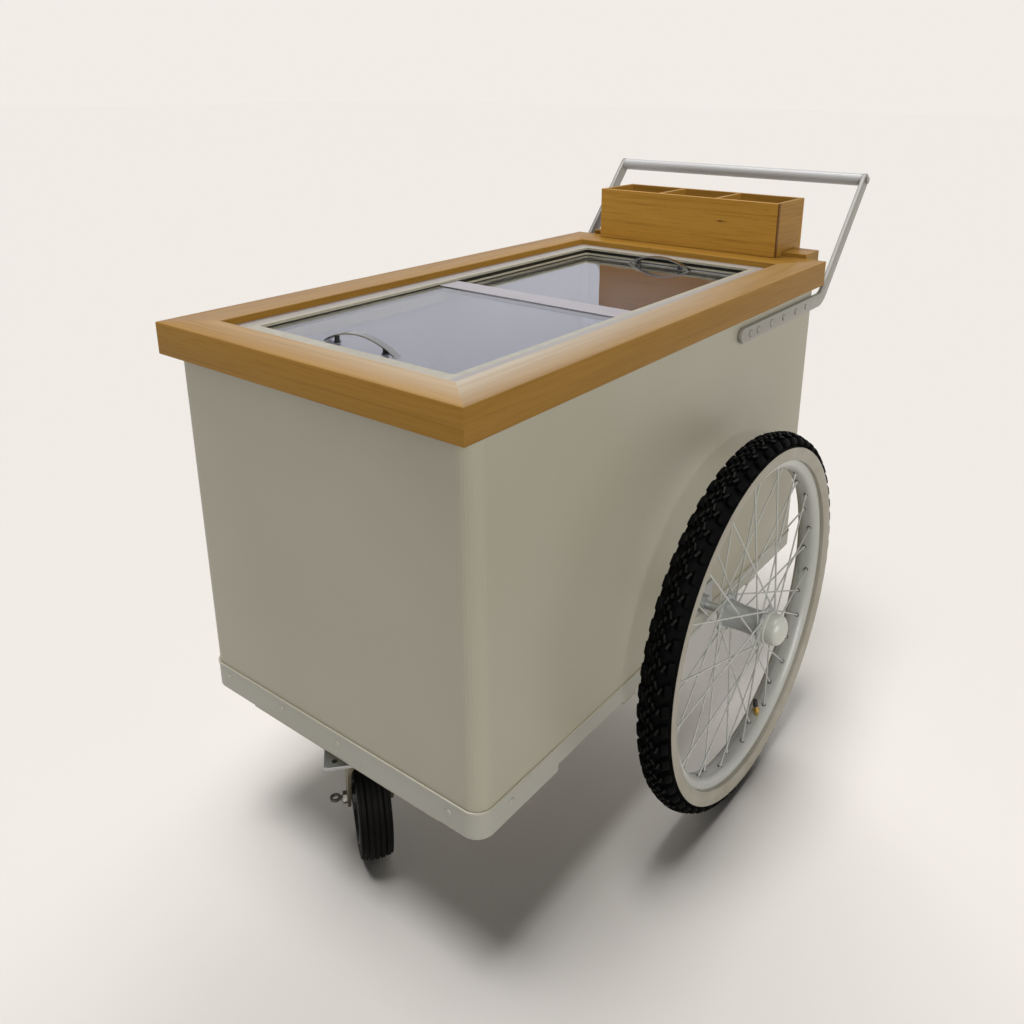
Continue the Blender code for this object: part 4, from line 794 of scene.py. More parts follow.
def add_whitewall(side):
    """The skin of pale rubber on both faces of a tyre."""
    centre, radius = wheel_frame(side)
    hoop = radius - TYRE_SECTION
    first = math.degrees(math.acos((radius - WHITEWALL_OUTER - hoop) / TYRE_SECTION))
    band = [section_point(radius, first, -WHITEWALL_SUNK)]
    for step in range(WHITEWALL_ARCS + 1):
        angle = first + (WHITEWALL_END_DEG - first) * step / WHITEWALL_ARCS
        band.append(section_point(radius, angle, WHITEWALL_PROUD))
    band += WHITEWALL_TURN
    bm = bmesh.new()
    for face in (1.0, -1.0):
        profile = [(along * face, away) for along, away in band]
        spun(bm, profile, centre, X_AXIS, UP, WHITEWALL_STEPS, closed=False)
    finish_piece(
        f"whitewall_band_{side}", bm, white_rubber, f"wheel_{side}",
        [f"whitewall_{side}"]
    )


for side in OUTWARD:
    add_tyre(side)
    add_whitewall(side)

# %% [markdown]
# ## Laced wheels
# Each wheel has a pressed rim with rolled lips, thirty-six spokes crossed three times,
# and a hub between two flanges. Half the spokes pull forwards and half backwards, which
# is why they cross. The rim and hub are spun profiles; each spoke is a straight rod from
# its flange hole to its nipple in the rim. The lacing starts beside the valve, because a
# wheel is laced so that the pump fits between the spokes there.

# %% Rim and hub profiles
# Half a rim and half a hub: places along the axle and away from it
RIM_HALF = (
    (0.0040, 0.2681),
    (0.0080, 0.2686),
    (0.0118, 0.2700),
    (0.0150, 0.2722),
    (0.0174, 0.2748),
    (0.0181, 0.2762),
    (0.0177, 0.2774),
    (0.0176, 0.2788),
    (0.0184, 0.2800),
    (0.0183, 0.2864),
    (0.0176, 0.2874),
    (0.0164, 0.2872),
    (0.0158, 0.2858),
    (0.0140, 0.2770),
    (0.0110, 0.2730),
)
HUB_HALF = (
    (-0.0430, 0.0081),
    (-0.0430, 0.0160),
    (-0.0385, 0.0165),
    (-0.0378, 0.0352),
    (-0.0366, 0.0360),
    (-0.0350, 0.0360),
    (-0.0342, 0.0350),
    (-0.0334, 0.0250),
    (-0.0290, 0.0238),
    (-0.0100, 0.0222),
)
RIM_PROFILE = both_sides(RIM_HALF)
HUB_PROFILE = both_sides(HUB_HALF)
print("points round the rim:", len(RIM_PROFILE), "and the hub:", len(HUB_PROFILE))

# %% Spokes
SPOKES = 36
SPOKE_RADIUS = 0.0015
SPOKE_SIDES = 8
LACING_LEAD = math.radians(60.0)
FLANGE_OFFSET = 0.036
FLANGE_HOLE_RADIUS = 0.032
SPOKE_FROM_FLANGE = 0.0026
HEAD_FROM_FLANGE = 0.0030
HEAD_OVERLAP = 0.15
HEAD_NECK_RADIUS = 0.00165
HEAD_RADIUS = 0.0026
RIM_SPOKE_RADIUS = 0.270
RIM_SPOKE_OFFSET = 0.004
NIPPLE_LENGTH = 0.011
NIPPLE_FOOT_RADIUS = 0.0027
NIPPLE_TIP_RADIUS = 0.0021
# The washers' dark zinc is partly the nipples' own dark feet and partly painted shade at each
# nipple's foot
WASHER_SPAN = (0.0010, 0.0032)
WASHER_RADII = (0.0042, 0.0036)
WASHER_SIDES = 12


def on_wheel(centre, along, away, angle):
    """A point beside a wheel's middle: along its axle, and away from it at an angle."""
    return centre + Vector((along, away * math.sin(angle), away * math.cos(angle)))


def lace_spoke(wires, washers, centre, flange, lead, rim_angle):
    """One spoke with its nipple, its washer and its head.

    The flange is 1 or -1 along the axle. The lead is 1 or -1: the way the spoke pulls.
    """
    hub_angle = rim_angle + lead * LACING_LEAD
    hole_at = FLANGE_OFFSET * flange
    start = on_wheel(centre, hole_at + lead * SPOKE_FROM_FLANGE, FLANGE_HOLE_RADIUS, hub_angle)
    end = on_wheel(centre, RIM_SPOKE_OFFSET * flange, RIM_SPOKE_RADIUS, rim_angle)
    head = on_wheel(centre, hole_at - lead * HEAD_FROM_FLANGE, FLANGE_HOLE_RADIUS, hub_angle)
    inward = (start - end).normalized()
    rod(wires, start, end, SPOKE_RADIUS, SPOKE_SIDES)
    nipple_end = end + inward * NIPPLE_LENGTH
    rod(wires, end, nipple_end, NIPPLE_FOOT_RADIUS, SPOKE_SIDES, NIPPLE_TIP_RADIUS)
    foot, tip = (end + inward * reach for reach in WASHER_SPAN)
    rod(washers, foot, tip, WASHER_RADII[0], WASHER_SIDES, WASHER_RADII[1])
    neck = start - (head - start) * HEAD_OVERLAP
    rod(wires, neck, head, HEAD_NECK_RADIUS, SPOKE_SIDES, HEAD_RADIUS)


print("spokes in a wheel:", SPOKES)

# %% Rims, spokes and hubs
RIM_STEPS = 144
HUB_STEPS = 40
for side, outward in OUTWARD.items():
    centre = middle(f"tyre_{side}")
    from_axle = middle(f"valve_{side}") - centre
    valve_angle = math.atan2(from_axle.y, from_axle.z)
    print(f"{side} valve at {math.degrees(valve_angle):.1f} degrees from the top")
    rim = bmesh.new()
    hub = bmesh.new()
    washers = bmesh.new()
    spun(rim, RIM_PROFILE, centre, X_AXIS, UP, RIM_STEPS)
    spun(hub, HUB_PROFILE, centre, X_AXIS, UP, HUB_STEPS)
    for number in range(SPOKES):
        flange = outward if number % 2 else -outward
        lead = -1 if (number // 2) % 2 else 1
        rim_angle = valve_angle + TURN * (number + 0.5) / SPOKES
        lace_spoke(rim, washers, centre, flange, lead, rim_angle)
    body = f"wheel_{side}"
    finish_piece(
        f"rim_and_spokes_{side}", rim, wheel_paint, body, [f"spoked_wheel_{side}"]
    )
    finish_piece(f"hub_{side}", hub, hub_paint, body)
    # Dark washers at the nipples' feet, partly painted shade
    finish_piece(f"nipple_washers_{side}", washers, zinc_dark, body)

# %% [markdown]
# ## Hub caps and valves
# A white cap closes each hub: a short cup with a collar at its foot and a domed end. It
# is one spun profile. The valve is a brass stem with a nut against the rim and a black
# dust cap, spun the same way about its own axis.

# %% Hub caps
CAP_STEPS = 40
COLLAR_WIDTH = 0.0050
COLLAR_STEP = 0.0012
COLLAR_SLOPE = 0.0012
COLLAR_GROOVE = 0.0002
CAP_WALL = 0.004
DOME_DEPTH = 0.016
DOME_ARCS = 8
for side, outward in OUTWARD.items():
    low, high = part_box(f"hub_cap_{side}")
    foot = middle(f"tyre_{side}")
    foot.x = low.x if outward > 0 else high.x
    reach = high.x - low.x
    collar_radius = (high.z - low.z) / 2
    cup_radius = collar_radius - COLLAR_STEP
    profile = [
        (0.0, collar_radius - CAP_WALL),
        (0.0, collar_radius),
        (COLLAR_WIDTH, collar_radius),
        (COLLAR_WIDTH + COLLAR_SLOPE, cup_radius - COLLAR_GROOVE),
        (COLLAR_WIDTH + 2 * COLLAR_SLOPE, cup_radius),
    ]
    for step in range(DOME_ARCS):
        angle = math.pi / 2 * step / DOME_ARCS
        rise = reach - DOME_DEPTH * (1.0 - math.sin(angle))
        profile.append((rise, cup_radius * math.cos(angle)))
    profile.append((reach, 0.0))
    bm = bmesh.new()
    spun(bm, profile, foot, X_AXIS * outward, UP, CAP_STEPS, closed=False)
    finish_piece(
        f"domed_hub_cap_{side}", bm, cap_plastic, f"wheel_{side}",
        [f"hub_cap_{side}"]
    )

# %% Valves
VALVE_FOOT_RADIUS = 0.266
VALVE_STEPS = 20
# Places along the valve and away from its middle line: foot, nut, thread, tip
VALVE_PROFILE = (
    (-0.004, 0.0),
    (-0.004, 0.0045),
    (0.0080, 0.0045),
    (0.0082, 0.0064),
    (0.0110, 0.0064),
    (0.0113, 0.0044),
    (0.0190, 0.0044),
    (0.0192, 0.0037),
    (0.0270, 0.0037),
    (0.0270, 0.0),
)
DUST_CAP_PROFILE = (
    (0.0236, 0.0),
    (0.0236, 0.0050),
    (0.0370, 0.0047),
    (0.0394, 0.0036),
    (0.0394, 0.0),
)
for side in OUTWARD:
    centre = middle(f"tyre_{side}")
    inward = centre - middle(f"valve_{side}")
    inward.x = 0.0
    inward.normalize()
    foot = centre - inward * VALVE_FOOT_RADIUS
    across = inward.cross(X_AXIS)
    stem = bmesh.new()
    spun(stem, VALVE_PROFILE, foot, inward, across, VALVE_STEPS, closed=False)
    finish_piece(
        f"valve_stem_{side}", stem, brass, f"wheel_{side}", [f"valve_{side}"]
    )
    cap = bmesh.new()
    spun(cap, DUST_CAP_PROFILE, foot, inward, across, VALVE_STEPS, closed=False)
    finish_piece(f"valve_cap_{side}", cap, black_plastic, f"wheel_{side}")

# %% [markdown]
# ## Mitred rails
# The four rails of the top frame meet in tight mitres. Each is a prism over its plan,
# with only the long edges eased, so that the joint stays a hairline. In the CAD model a
# small gap keeps the solids apart; here the boards close up, as a joiner would glue them.

# %% Rails
RAIL_EASE = 0.0016
RAIL_EASE_STEPS = 3
CLOSED_UP = 0.0006
ALONG_THE_BOARD = 0.999
side_low, side_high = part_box("top_rail_right")
front_low, front_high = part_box("top_rail_front")
rear_low, rear_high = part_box("top_rail_rear")
out_x, out_front, out_rear = side_high.x, front_low.y, rear_high.y
in_x = side_low.x - CLOSED_UP
in_front = front_high.y + CLOSED_UP
in_rear = rear_low.y - CLOSED_UP
# Each rail's plan starts with its outer edge
RAIL_PLANS = {
    "front": ((-out_x, out_front), (out_x, out_front), (in_x, in_front), (-in_x, in_front)),
    "rear": ((out_x, out_rear), (-out_x, out_rear), (-in_x, in_rear), (in_x, in_rear)),
    "right": ((out_x, out_front), (out_x, out_rear), (in_x, in_rear), (in_x, in_front)),
    "left": ((-out_x, out_rear), (-out_x, out_front), (-in_x, in_front), (-in_x, in_rear)),
}
for place, plan in RAIL_PLANS.items():
    bm = bmesh.new()
    corners = [Vector((x, y, side_low.z)) for x, y in plan]
    thicken(bm, corners, UP * (side_high.z - side_low.z))
    along = (corners[1] - corners[0]).normalized()
    long_edges = [
        edge for edge in bm.edges
        if abs((edge.verts[1].co - edge.verts[0].co).normalized().dot(along)) > ALONG_THE_BOARD
    ]
    ease(bm, long_edges, RAIL_EASE, RAIL_EASE_STEPS)
    rail = f"top_rail_{place}"
    finish_piece(f"mitred_{rail}", bm, board_finishes[rail], "cart", [rail])

# %% [markdown]
# ## Handle arms
# Each arm is one flat bar: level along the box with a round front end, then a bend, then
# a rise to the push bar. Its outline is drawn from the middle line, half a bar's width
# to each side, and given its thickness by an extrusion.

# %% Middle line and outline of a bar
ARM_HALF_WIDTH = 0.013
ARM_BEND_RADIUS = 0.038
ARC_STEPS = 12


def bent_middle_line(start, corner, end):
    """A line with one rounded bend, as (y, z) points."""
    one = (start - corner).normalized()
    two = (end - corner).normalized()
    half_angle = one.angle(two) / 2
    reach = ARM_BEND_RADIUS / math.tan(half_angle)
    centre = corner + (one + two).normalized() * (ARM_BEND_RADIUS / math.sin(half_angle))
    first = corner + one * reach - centre
    last = corner + two * reach - centre
    turn = first.angle_signed(last)
    bend = [
        centre + Matrix.Rotation(-turn * step / ARC_STEPS, 2) @ first
        for step in range(ARC_STEPS + 1)
    ]
    return [start, *bend, end]


def right_of(way):
    """The direction to the right of another one."""
    return Vector((way.y, -way.x))


def round_end(point, way):
    """The points of a half circle that closes a bar at one end."""
    points = []
    for step in range(1, ARC_STEPS):
        angle = math.pi * step / ARC_STEPS
        spoke = right_of(way) * math.cos(angle) + way * math.sin(angle)
        points.append(point + spoke * ARM_HALF_WIDTH)
    return points


def bar_outline(line):
    """The outline of a flat bar with round ends along a middle line."""
    ways = []
    for index in range(len(line)):
        before = line[max(index - 1, 0)]
        after = line[min(index + 1, len(line) - 1)]
        ways.append((after - before).normalized())
    right = [point + right_of(way) * ARM_HALF_WIDTH for point, way in zip(line, ways)]
    left = [point - right_of(way) * ARM_HALF_WIDTH for point, way in zip(line, ways)]
    return right + round_end(line[-1], ways[-1]) + left[::-1] + round_end(line[0], -ways[0])


print("points in a bend:", ARC_STEPS + 1)

# %% Handle arms
# The level part starts this far behind the CAD arm's end, where the real one starts
ARM_FRONT_TRIM = 0.030
BEND_BEFORE_FRAME_END = 0.0055
ARM_EASE = 0.0012
ARM_EASE_STEPS = 2
bar_middle = middle("push_bar")
for side in OUTWARD:
    low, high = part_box(f"handle_arm_{side}")
    level = low.z + ARM_HALF_WIDTH
    start = Vector((low.y + ARM_HALF_WIDTH + ARM_FRONT_TRIM, level))
    corner = Vector((out_rear - BEND_BEFORE_FRAME_END, level))
    end = Vector((bar_middle.y, bar_middle.z))
    outline = bar_outline(bent_middle_line(start, corner, end))
    bm = bmesh.new()
    corners = [Vector((low.x, point.x, point.y)) for point in outline]
    thicken(bm, corners, X_AXIS * (high.x - low.x))
    rims = [edge for edge in bm.edges if abs((edge.verts[0].co - edge.verts[1].co).x) < MICRON]
    ease(bm, rims, ARM_EASE, ARM_EASE_STEPS)
    finish_piece(f"bent_arm_{side}", bm, arm_paint, "cart", [f"handle_arm_{side}"])

# %% [markdown]
# ## Bow handles on the lids
# Each lid is pulled by a polished bow: a flat ribbon bent to an arc, standing on two short
# posts a little inside its tips. The ribbon is a small rectangle that is swept along the
# arc by a part turn of spin. Its tips are levelled where they would dip into the glass.

# %% Bow handles
RIBBON_WIDTH = 0.0105
RIBBON_THICKNESS = 0.0022
BOW_STEPS = 32
BOW_CREASE_DEG = 30.0
POST_INSET = 0.023
POST_RADIUS = 0.0036
POST_SIDES = 16
POST_FOOT_RADIUS = 0.0052
POST_FOOT_HEIGHT = 0.0014
POST_FOOT_SIDES = 20
for lid in ("front_lid", "rear_lid"):
    low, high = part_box(f"{lid}_handle")
    half = (high.x - low.x) / 2
    rise = high.z - low.z
    bend = (half * half + rise * rise) / (2 * rise)
    spread = math.asin(half / bend)
    arc_centre = Vector(((low.x + high.x) / 2, (low.y + high.y) / 2, high.z - bend))
    bm = bmesh.new()
    corners = []
    for across, depth in ((-0.5, 0.0), (0.5, 0.0), (0.5, 1.0), (-0.5, 1.0)):
        away = bend - depth * RIBBON_THICKNESS
        spoke = Vector((away * math.sin(spread), across * RIBBON_WIDTH, away * math.cos(spread)))
        corners.append(bm.verts.new(arc_centre + spoke))
    end_face = bm.faces.new(corners)
    bmesh.ops.spin(
        bm, geom=[end_face], cent=arc_centre, axis=(0.0, 1.0, 0.0), angle=-2 * spread,
        steps=BOW_STEPS
    )
    for vert in bm.verts:
        vert.co.z = max(vert.co.z, low.z)
    finish_piece(
        f"{lid}_bow", bm, chrome, lid, [f"{lid}_handle"], BOW_CREASE_DEG
    )
    posts = bmesh.new()
    inner_bend = bend - RIBBON_THICKNESS
    top_z = arc_centre.z + math.sqrt(inner_bend ** 2 - (half - POST_INSET) ** 2)
    for sign in (-1, 1):
        post_x = arc_centre.x + sign * (half - POST_INSET)
        foot = Vector((post_x, arc_centre.y, low.z))
        top = Vector((post_x, arc_centre.y, top_z))
        rod(posts, foot, top, POST_RADIUS, POST_SIDES)
        rod(posts, foot, foot + UP * POST_FOOT_HEIGHT, POST_FOOT_RADIUS, POST_FOOT_SIDES)
    finish_piece(f"{lid}_bow_posts", posts, black_plastic, lid)

# %% [markdown]
# ## The base band's bead
# The band's top edge is rolled to a thin bead that closes the joint to the box. Its paint
# is lighter than the band's: a painted highlight for the light the bead catches. Eight
# rounded rectangles, each a little further round the bead's section, are bridged one to
# the next.

# %% Bead
BEAD_RADIUS = 0.0018
BEAD_SIDES = 8
BEAD_SUNK = 0.0012
BAND_CORNER = 0.028
CORNER_STEPS = 8


def rounded_loop(bm, centre, half_x, half_y, corner):
    """A closed loop of edges round a rounded rectangle."""
    points = []
    for quarter, (sign_x, sign_y) in enumerate(((1, 1), (-1, 1), (-1, -1), (1, -1))):
        corner_x = centre.x + sign_x * (half_x - corner)
        corner_y = centre.y + sign_y * (half_y - corner)
        for step in range(CORNER_STEPS + 1):
            angle = (quarter + step / CORNER_STEPS) * math.pi / 2
            x = corner_x + corner * math.cos(angle)
            y = corner_y + corner * math.sin(angle)
            points.append(bm.verts.new((x, y, centre.z)))
    return [bm.edges.new(pair) for pair in zip(points, points[1:] + points[:1])]


band_low, band_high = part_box("base_band")
band_middle = (band_low + band_high) / 2
band_half = (band_high - band_low) / 2
bm = bmesh.new()
loops = []
for side_step in range(BEAD_SIDES):
    angle = TURN * side_step / BEAD_SIDES
    out = BEAD_RADIUS * (math.cos(angle) - 1.0)
    bead_z = band_high.z - BEAD_SUNK + BEAD_RADIUS * math.sin(angle)
    at = Vector((band_middle.x, band_middle.y, bead_z))
    loops.append(rounded_loop(bm, at, band_half.x + out, band_half.y + out, BAND_CORNER + out))
for one, two in zip(loops, loops[1:] + loops[:1]):
    bmesh.ops.bridge_loops(bm, edges=one + two)
# The bead takes the lighter paint of a painted highlight
finish_piece("band_bead", bm, bead_highlight_paint, "cart")

# %% [markdown]
# ## Screws and rivets
# Domed screws hold the base band to the box, and a row of rivets holds each handle arm.
# One domed head is a short spun profile. It is used over and over, set on the face that
# carries it. Each rivet gets a thin dark ring round its foot: painted shade, standing for
# the shadow round the head.

# %% Band screws
DOME_STEPS = 5
HEAD_STEPS = 18
HEAD_SUNK = 0.0004
HEAD_RIM_SHARE = 0.3


def domed_head(bm, foot, out, radius, height):
    """A low dome on a face, with a short straight rim."""
    rim = height * HEAD_RIM_SHARE
    profile = [(-HEAD_SUNK, radius)]
    for step in range(DOME_STEPS):
        angle = math.pi / 2 * step / DOME_STEPS
        profile.append((rim + (height - rim) * math.sin(angle), radius * math.cos(angle)))
    profile.append((height, 0.0))
    across = out.orthogonal().normalized()
    spun(bm, profile, foot, out, across, HEAD_STEPS, closed=False)


SCREW_RADIUS = 0.0052
SCREW_HEIGHT = 0.0024
SCREW_RISE = 0.025
SCREW_SUNK = 0.001
FRONT_SCREWS = (-0.2439, -0.1121, 0.0147, 0.2326)
SIDE_SCREW_INSET = 0.066
Y_AXIS = Vector((0.0, 1.0, 0.0))
screw_z = band_low.z + SCREW_RISE
side_places = (band_low.y + SIDE_SCREW_INSET, band_high.y - SIDE_SCREW_INSET)
screws = bmesh.new()
for sign, face_x, face_y in ((-1.0, band_low.x, band_low.y), (1.0, band_high.x, band_high.y)):
    for screw_x in FRONT_SCREWS:
        foot = Vector((screw_x, face_y - sign * SCREW_SUNK, screw_z))
        domed_head(screws, foot, Y_AXIS * sign, SCREW_RADIUS, SCREW_HEIGHT)
    for screw_y in side_places:
        foot = Vector((face_x - sign * SCREW_SUNK, screw_y, screw_z))
        domed_head(screws, foot, X_AXIS * sign, SCREW_RADIUS, SCREW_HEIGHT)
finish_piece("base_band_screws", screws, band_paint, "cart")

# %% Arm rivets and their painted shade rings
# Distance of each rivet from the CAD arm's front end, then its radius and height
ARM_RIVETS = (
    (0.0650, 0.0050, 0.0014),
    (0.0960, 0.0050, 0.0014),
    (0.1520, 0.0060, 0.0010),
    (0.2055, 0.0048, 0.0022),
    (0.2620, 0.0048, 0.0022),
    (0.3105, 0.0040, 0.0014),
)
# The dark rings round the rivets are painted shade
SHADE_RING_MARGIN = 0.0014
SHADE_RING_SUNK = 0.0004
SHADE_RING_PROUD = 0.0002
rivets = bmesh.new()
shade_rings = bmesh.new()
for side, outward in OUTWARD.items():
    low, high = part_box(f"handle_arm_{side}")
    face_x = high.x if outward > 0 else low.x
    out = X_AXIS * outward
    for along, rivet_radius, rivet_height in ARM_RIVETS:
        foot = Vector((face_x, low.y + along, low.z + ARM_HALF_WIDTH))
        domed_head(rivets, foot, out, rivet_radius, rivet_height)
        shade_ring_radius = rivet_radius + SHADE_RING_MARGIN
        rod(shade_rings, foot - out * SHADE_RING_SUNK, foot + out * SHADE_RING_PROUD, shade_ring_radius, HEAD_STEPS)
finish_piece("handle_arm_rivets", rivets, arm_paint, "cart")
finish_piece("rivet_seats", shade_rings, zinc_dark, "cart")

# %% [markdown]
# ## The caster's tyre and plate
# The front wheel is a solid rubber tyre with moulded ribs, so its profile is a row of
# ridges spun about its axle. The ribs stand a little lower towards the shoulders. Its
# plate has four bolt places. Two lie under the beam and carry bolts; one of the open ones
# is in sight, and a small black disc in it is painted shade for the dark inside the hole.

# %% Caster tyre
CASTER_HEADING = math.radians(54.2)
CASTER_STEPS = 96
RIB_COUNT = 5
RIB_PITCH = 0.0088
RIB_FOOT_HALF = 0.0032
RIB_TOP_HALF = 0.0027
RIB_ROUNDING = 0.0003
GROOVE_DEPTH = 0.0030
CROWN_DROP = 0.0039
SHOULDER = ((0.0245, 0.0955), (0.0255, 0.0900), (0.0255, 0.0790), (0.0230, 0.0740))
caster_axis = Vector((math.cos(CASTER_HEADING), math.sin(CASTER_HEADING), 0.0))
tyre_low, tyre_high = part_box("caster_tyre")
caster_radius = (tyre_high.z - tyre_low.z) / 2
profile = [(-along, away) for along, away in reversed(SHOULDER)]
for rib in range(RIB_COUNT):
    rib_at = (rib - (RIB_COUNT - 1) / 2) * RIB_PITCH
    crown = caster_radius - CROWN_DROP * (rib_at / SHOULDER[0][0]) ** 2
    profile += [
        (rib_at - RIB_FOOT_HALF, crown - GROOVE_DEPTH),
        (rib_at - RIB_TOP_HALF, crown - RIB_ROUNDING),
        (rib_at, crown),
        (rib_at + RIB_TOP_HALF, crown - RIB_ROUNDING),
        (rib_at + RIB_FOOT_HALF, crown - GROOVE_DEPTH),
    ]
profile += SHOULDER
bm = bmesh.new()
spun(bm, profile, middle("caster_tyre"), caster_axis, UP, CASTER_STEPS)
finish_piece(
    "ribbed_caster_tyre", bm, caster_rubber, "caster_wheel", ["caster_tyre"]
)

# %% Plate bolts and the open hole's painted shade
BOLT_PLACE = Vector((-0.0015, -0.0662, 0.0))
OPEN_QUARTER = 0
BOLTED_QUARTERS = (1, 3)
HOLE_RADIUS = 0.0042
HOLE_SUNK = 0.0005
HOLE_PROUD = 0.0002
HOLE_SIDES = 20
# Radius, sides, and from where to where below the plate: a washer, then a hexagon head
BOLT_PARTS = ((0.0100, 20, -0.0005, 0.0014), (0.0072, 6, 0.0010, 0.0060))
plate_low, plate_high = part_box("caster_plate")


def bolt_place(quarter, z):
    """One of the plate's four bolt places, a quarter turn apart, at a height."""
    turned = Matrix.Rotation(quarter * math.pi / 2, 3, "Z") @ BOLT_PLACE
    place = middle("caster_plate") + turned
    return Vector((place.x, place.y, z))


# A black disc sunk in the plate at the open hole: painted shade
hole_shade = bmesh.new()
top = bolt_place(OPEN_QUARTER, plate_high.z)
rod(hole_shade, top - UP * HOLE_SUNK, top + UP * HOLE_PROUD, HOLE_RADIUS, HOLE_SIDES)
finish_piece("plate_slot", hole_shade, black_plastic, "cart")
bolts = bmesh.new()
for quarter in BOLTED_QUARTERS:
    bottom = bolt_place(quarter, plate_low.z)
    for part_radius, sides, upper, lower in BOLT_PARTS:
        rod(bolts, bottom - UP * upper, bottom - UP * lower, part_radius, sides)
finish_piece("plate_bolts", bolts, zinc, "cart")

# %% [markdown]
# ## A plain floor
# The cart stands on a plain pale floor. The floor is matt and as pale as the backdrop, so
# that its far part fades into it and only the cart's shadow tells where it lies.

# %% Floor
BACKDROP = shade(242, 237, 231)
FLOOR_HALF_SIZE = 40.0
floor_bm = bmesh.new()
bmesh.ops.create_grid(floor_bm, x_segments=1, y_segments=1, size=FLOOR_HALF_SIZE)
floor_mesh = bpy.data.meshes.new("floor")
floor_bm.to_mesh(floor_mesh)
floor_bm.free()
floor = bpy.data.objects.new("floor", floor_mesh)
bpy.context.scene.collection.objects.link(floor)
floor_finish = Finish("pale floor", BACKDROP, 0.9)
floor_finish.shader.inputs["Specular IOR Level"].default_value = 0.0
floor_mesh.materials.append(floor_finish.material)
print("floor laid")

# %% [markdown]
# ## Surroundings
# The world is one even colour all round, but it does three jobs. The camera, and whatever
# looks through glass, sees the backdrop. Gloss mirrors a slightly cooler tone, as from a
# pale room. As light on matt faces the world is kept faint, so that the lamps shape the
# cart and hollows go dark. The Light Path node tells the three apart.

# %% Surroundings
SURROUND_LEVEL = 0.07
SURROUND_GLEAM = shade(226, 227, 235)
WHITE = (1.0, 1.0, 1.0, 1.0)
world = bpy.data.worlds.new("pale surroundings")
bpy.context.scene.world = world
world.use_nodes = True
tree = world.node_tree


def larger(first, second):
    """The larger of two outputs."""
    node = tree.nodes.new("ShaderNodeMath")
    node.operation = "MAXIMUM"
    tree.links.new(first, node.inputs[0])
    tree.links.new(second, node.inputs[1])
    return node.outputs[0]


def tinted(amount, colour):
    """A colour mix that turns to one colour where the amount is 1."""
    node = tree.nodes.new("ShaderNodeMix")
    node.data_type = "RGBA"
    tree.links.new(amount, node.inputs[0])
    node.inputs[7].default_value = colour
    return node


ray = tree.nodes.new("ShaderNodeLightPath").outputs
seen = larger(ray["Is Camera Ray"], ray["Is Transmission Ray"])
seen_or_mirrored = larger(seen, ray["Is Glossy Ray"])
strength = tree.nodes.new("ShaderNodeMapRange")
strength.inputs["To Min"].default_value = SURROUND_LEVEL
strength.inputs["To Max"].default_value = 1.0
tree.links.new(seen_or_mirrored, strength.inputs["Value"])
backdrop = tinted(seen_or_mirrored, BACKDROP)
backdrop.inputs[6].default_value = WHITE
gleam = tinted(ray["Is Glossy Ray"], SURROUND_GLEAM)
tree.links.new(backdrop.outputs[2], gleam.inputs[6])
background = tree.nodes["Background"]
tree.links.new(strength.outputs["Result"], background.inputs["Strength"])
tree.links.new(gleam.outputs[2], background.inputs["Color"])
print("surroundings set")

# %% [markdown]
# ## Lamps
# Three wide, distant lamps light the cart: one nearly overhead from the left, which
# brightens the wooden top, a warmer one low on the right for the long side, and a faint
# cool one near the camera that opens the shadows. The floor has two lamps of its own, one
# above and one low behind, set so that the soft shadow lies under the cart and towards
# the camera. Light linking keeps the two groups apart. The wheels cast no shadow from the
# side lamp, which would put a dark patch on the box.

# %% Who gets which light
CART_LIT = bpy.data.collections.new("floor left out")
FLOOR_LIT = bpy.data.collections.new("floor alone")
for lit in (CART_LIT, FLOOR_LIT):
    bpy.context.scene.collection.children.link(lit)
    lit.objects.link(floor)
SHADELESS = bpy.data.collections.new("wheels without a shadow")
bpy.context.scene.collection.children.link(SHADELESS)
WHEEL_PIECES = ("tread_tyre", "whitewall_band", "rim_and_spokes", "hub_", "domed_hub_cap")
for piece in list(bpy.data.objects):
    if piece.name.startswith(WHEEL_PIECES):
        SHADELESS.objects.link(piece)

# %% Lamps


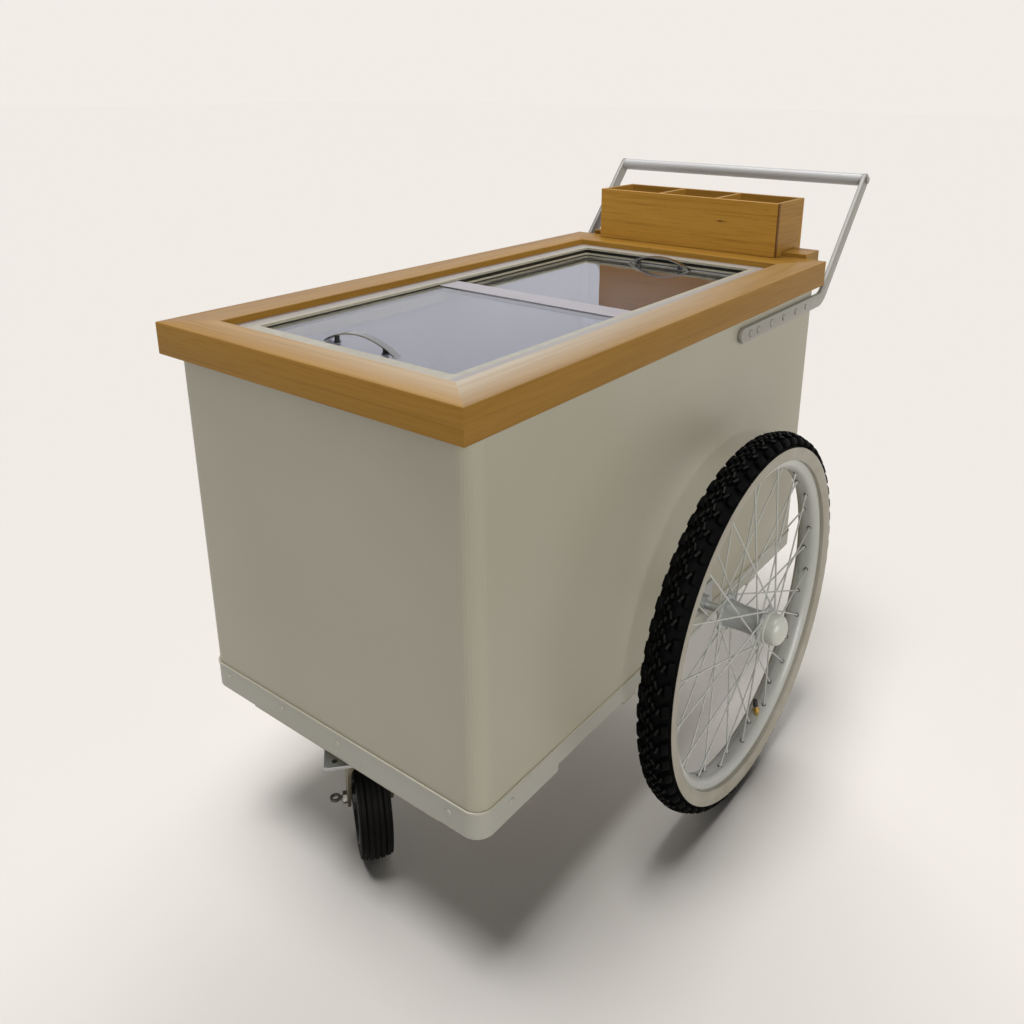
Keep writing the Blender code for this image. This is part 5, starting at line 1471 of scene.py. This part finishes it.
def soft_lamp(name, azimuth, elevation, level, spread, lit, colour=(1.0, 1.0, 1.0), passes=None):
    """A wide distant lamp. Level is how bright it makes a white face that is turned to it."""
    data = bpy.data.lights.new(name, "SUN")
    data.energy = level * math.pi
    data.angle = math.radians(spread)
    data.color = colour
    lamp = bpy.data.objects.new(name, data)
    turn = Matrix.Rotation(math.radians(azimuth), 4, "Z")
    lamp.matrix_world = turn @ Matrix.Rotation(math.radians(90.0 - elevation), 4, "X")
    bpy.context.scene.collection.objects.link(lamp)
    lamp.light_linking.receiver_collection = lit
    for member in lit.collection_objects:
        member.light_linking.link_state = "EXCLUDE" if lit is CART_LIT else "INCLUDE"
    if passes:
        lamp.light_linking.blocker_collection = passes
        for member in passes.collection_objects:
            member.light_linking.link_state = "EXCLUDE"
    print(f"{name}: from {azimuth:.0f} degrees, {elevation:.0f} up, level {level}")


WARM = (1.0, 0.96, 0.88)
COOL = (0.97, 0.99, 1.0)
soft_lamp("overhead lamp", 273.0, 78.0, 1.0, 40.0, CART_LIT)
soft_lamp("side lamp", 69.0, 26.0, 0.48, 30.0, CART_LIT, WARM, SHADELESS)
soft_lamp("lamp near the camera", 44.0, 20.0, 0.24, 6.0, CART_LIT, COOL)
soft_lamp("floor lamp above", 325.0, 82.0, 0.63, 26.0, FLOOR_LIT)
soft_lamp("floor lamp behind", 209.0, 16.0, 0.98, 60.0, FLOOR_LIT)

# %% [markdown]
# ## Camera
# The camera's place and lens were worked out from the straight edges of the cart in the
# photograph. The two shifts slide the picture over the lens's axis, as a crop does, and
# leave the perspective alone.

# %% Camera
AZIMUTH = math.radians(36.55)
ELEVATION = math.radians(18.58)
ROLL = math.radians(0.46)
CAMERA_PLACE = (0.905, -1.31175, 1.202)
camera_data = bpy.data.cameras.new("camera")
camera_data.sensor_width = 36.0
camera_data.lens = 32.08
camera_data.shift_x = -0.0321
camera_data.shift_y = -0.1214
camera = bpy.data.objects.new("camera", camera_data)
camera.matrix_world = (
    Matrix.Translation(CAMERA_PLACE)
    @ Matrix.Rotation(AZIMUTH, 4, "Z")
    @ Matrix.Rotation(math.radians(90.0) - ELEVATION, 4, "X")
    @ Matrix.Rotation(ROLL, 4, "Z")
)
bpy.context.scene.collection.objects.link(camera)
bpy.context.scene.camera = camera
bpy.context.scene.view_settings.view_transform = "Standard"
print("camera at", tuple(round(v, 3) for v in camera.location))
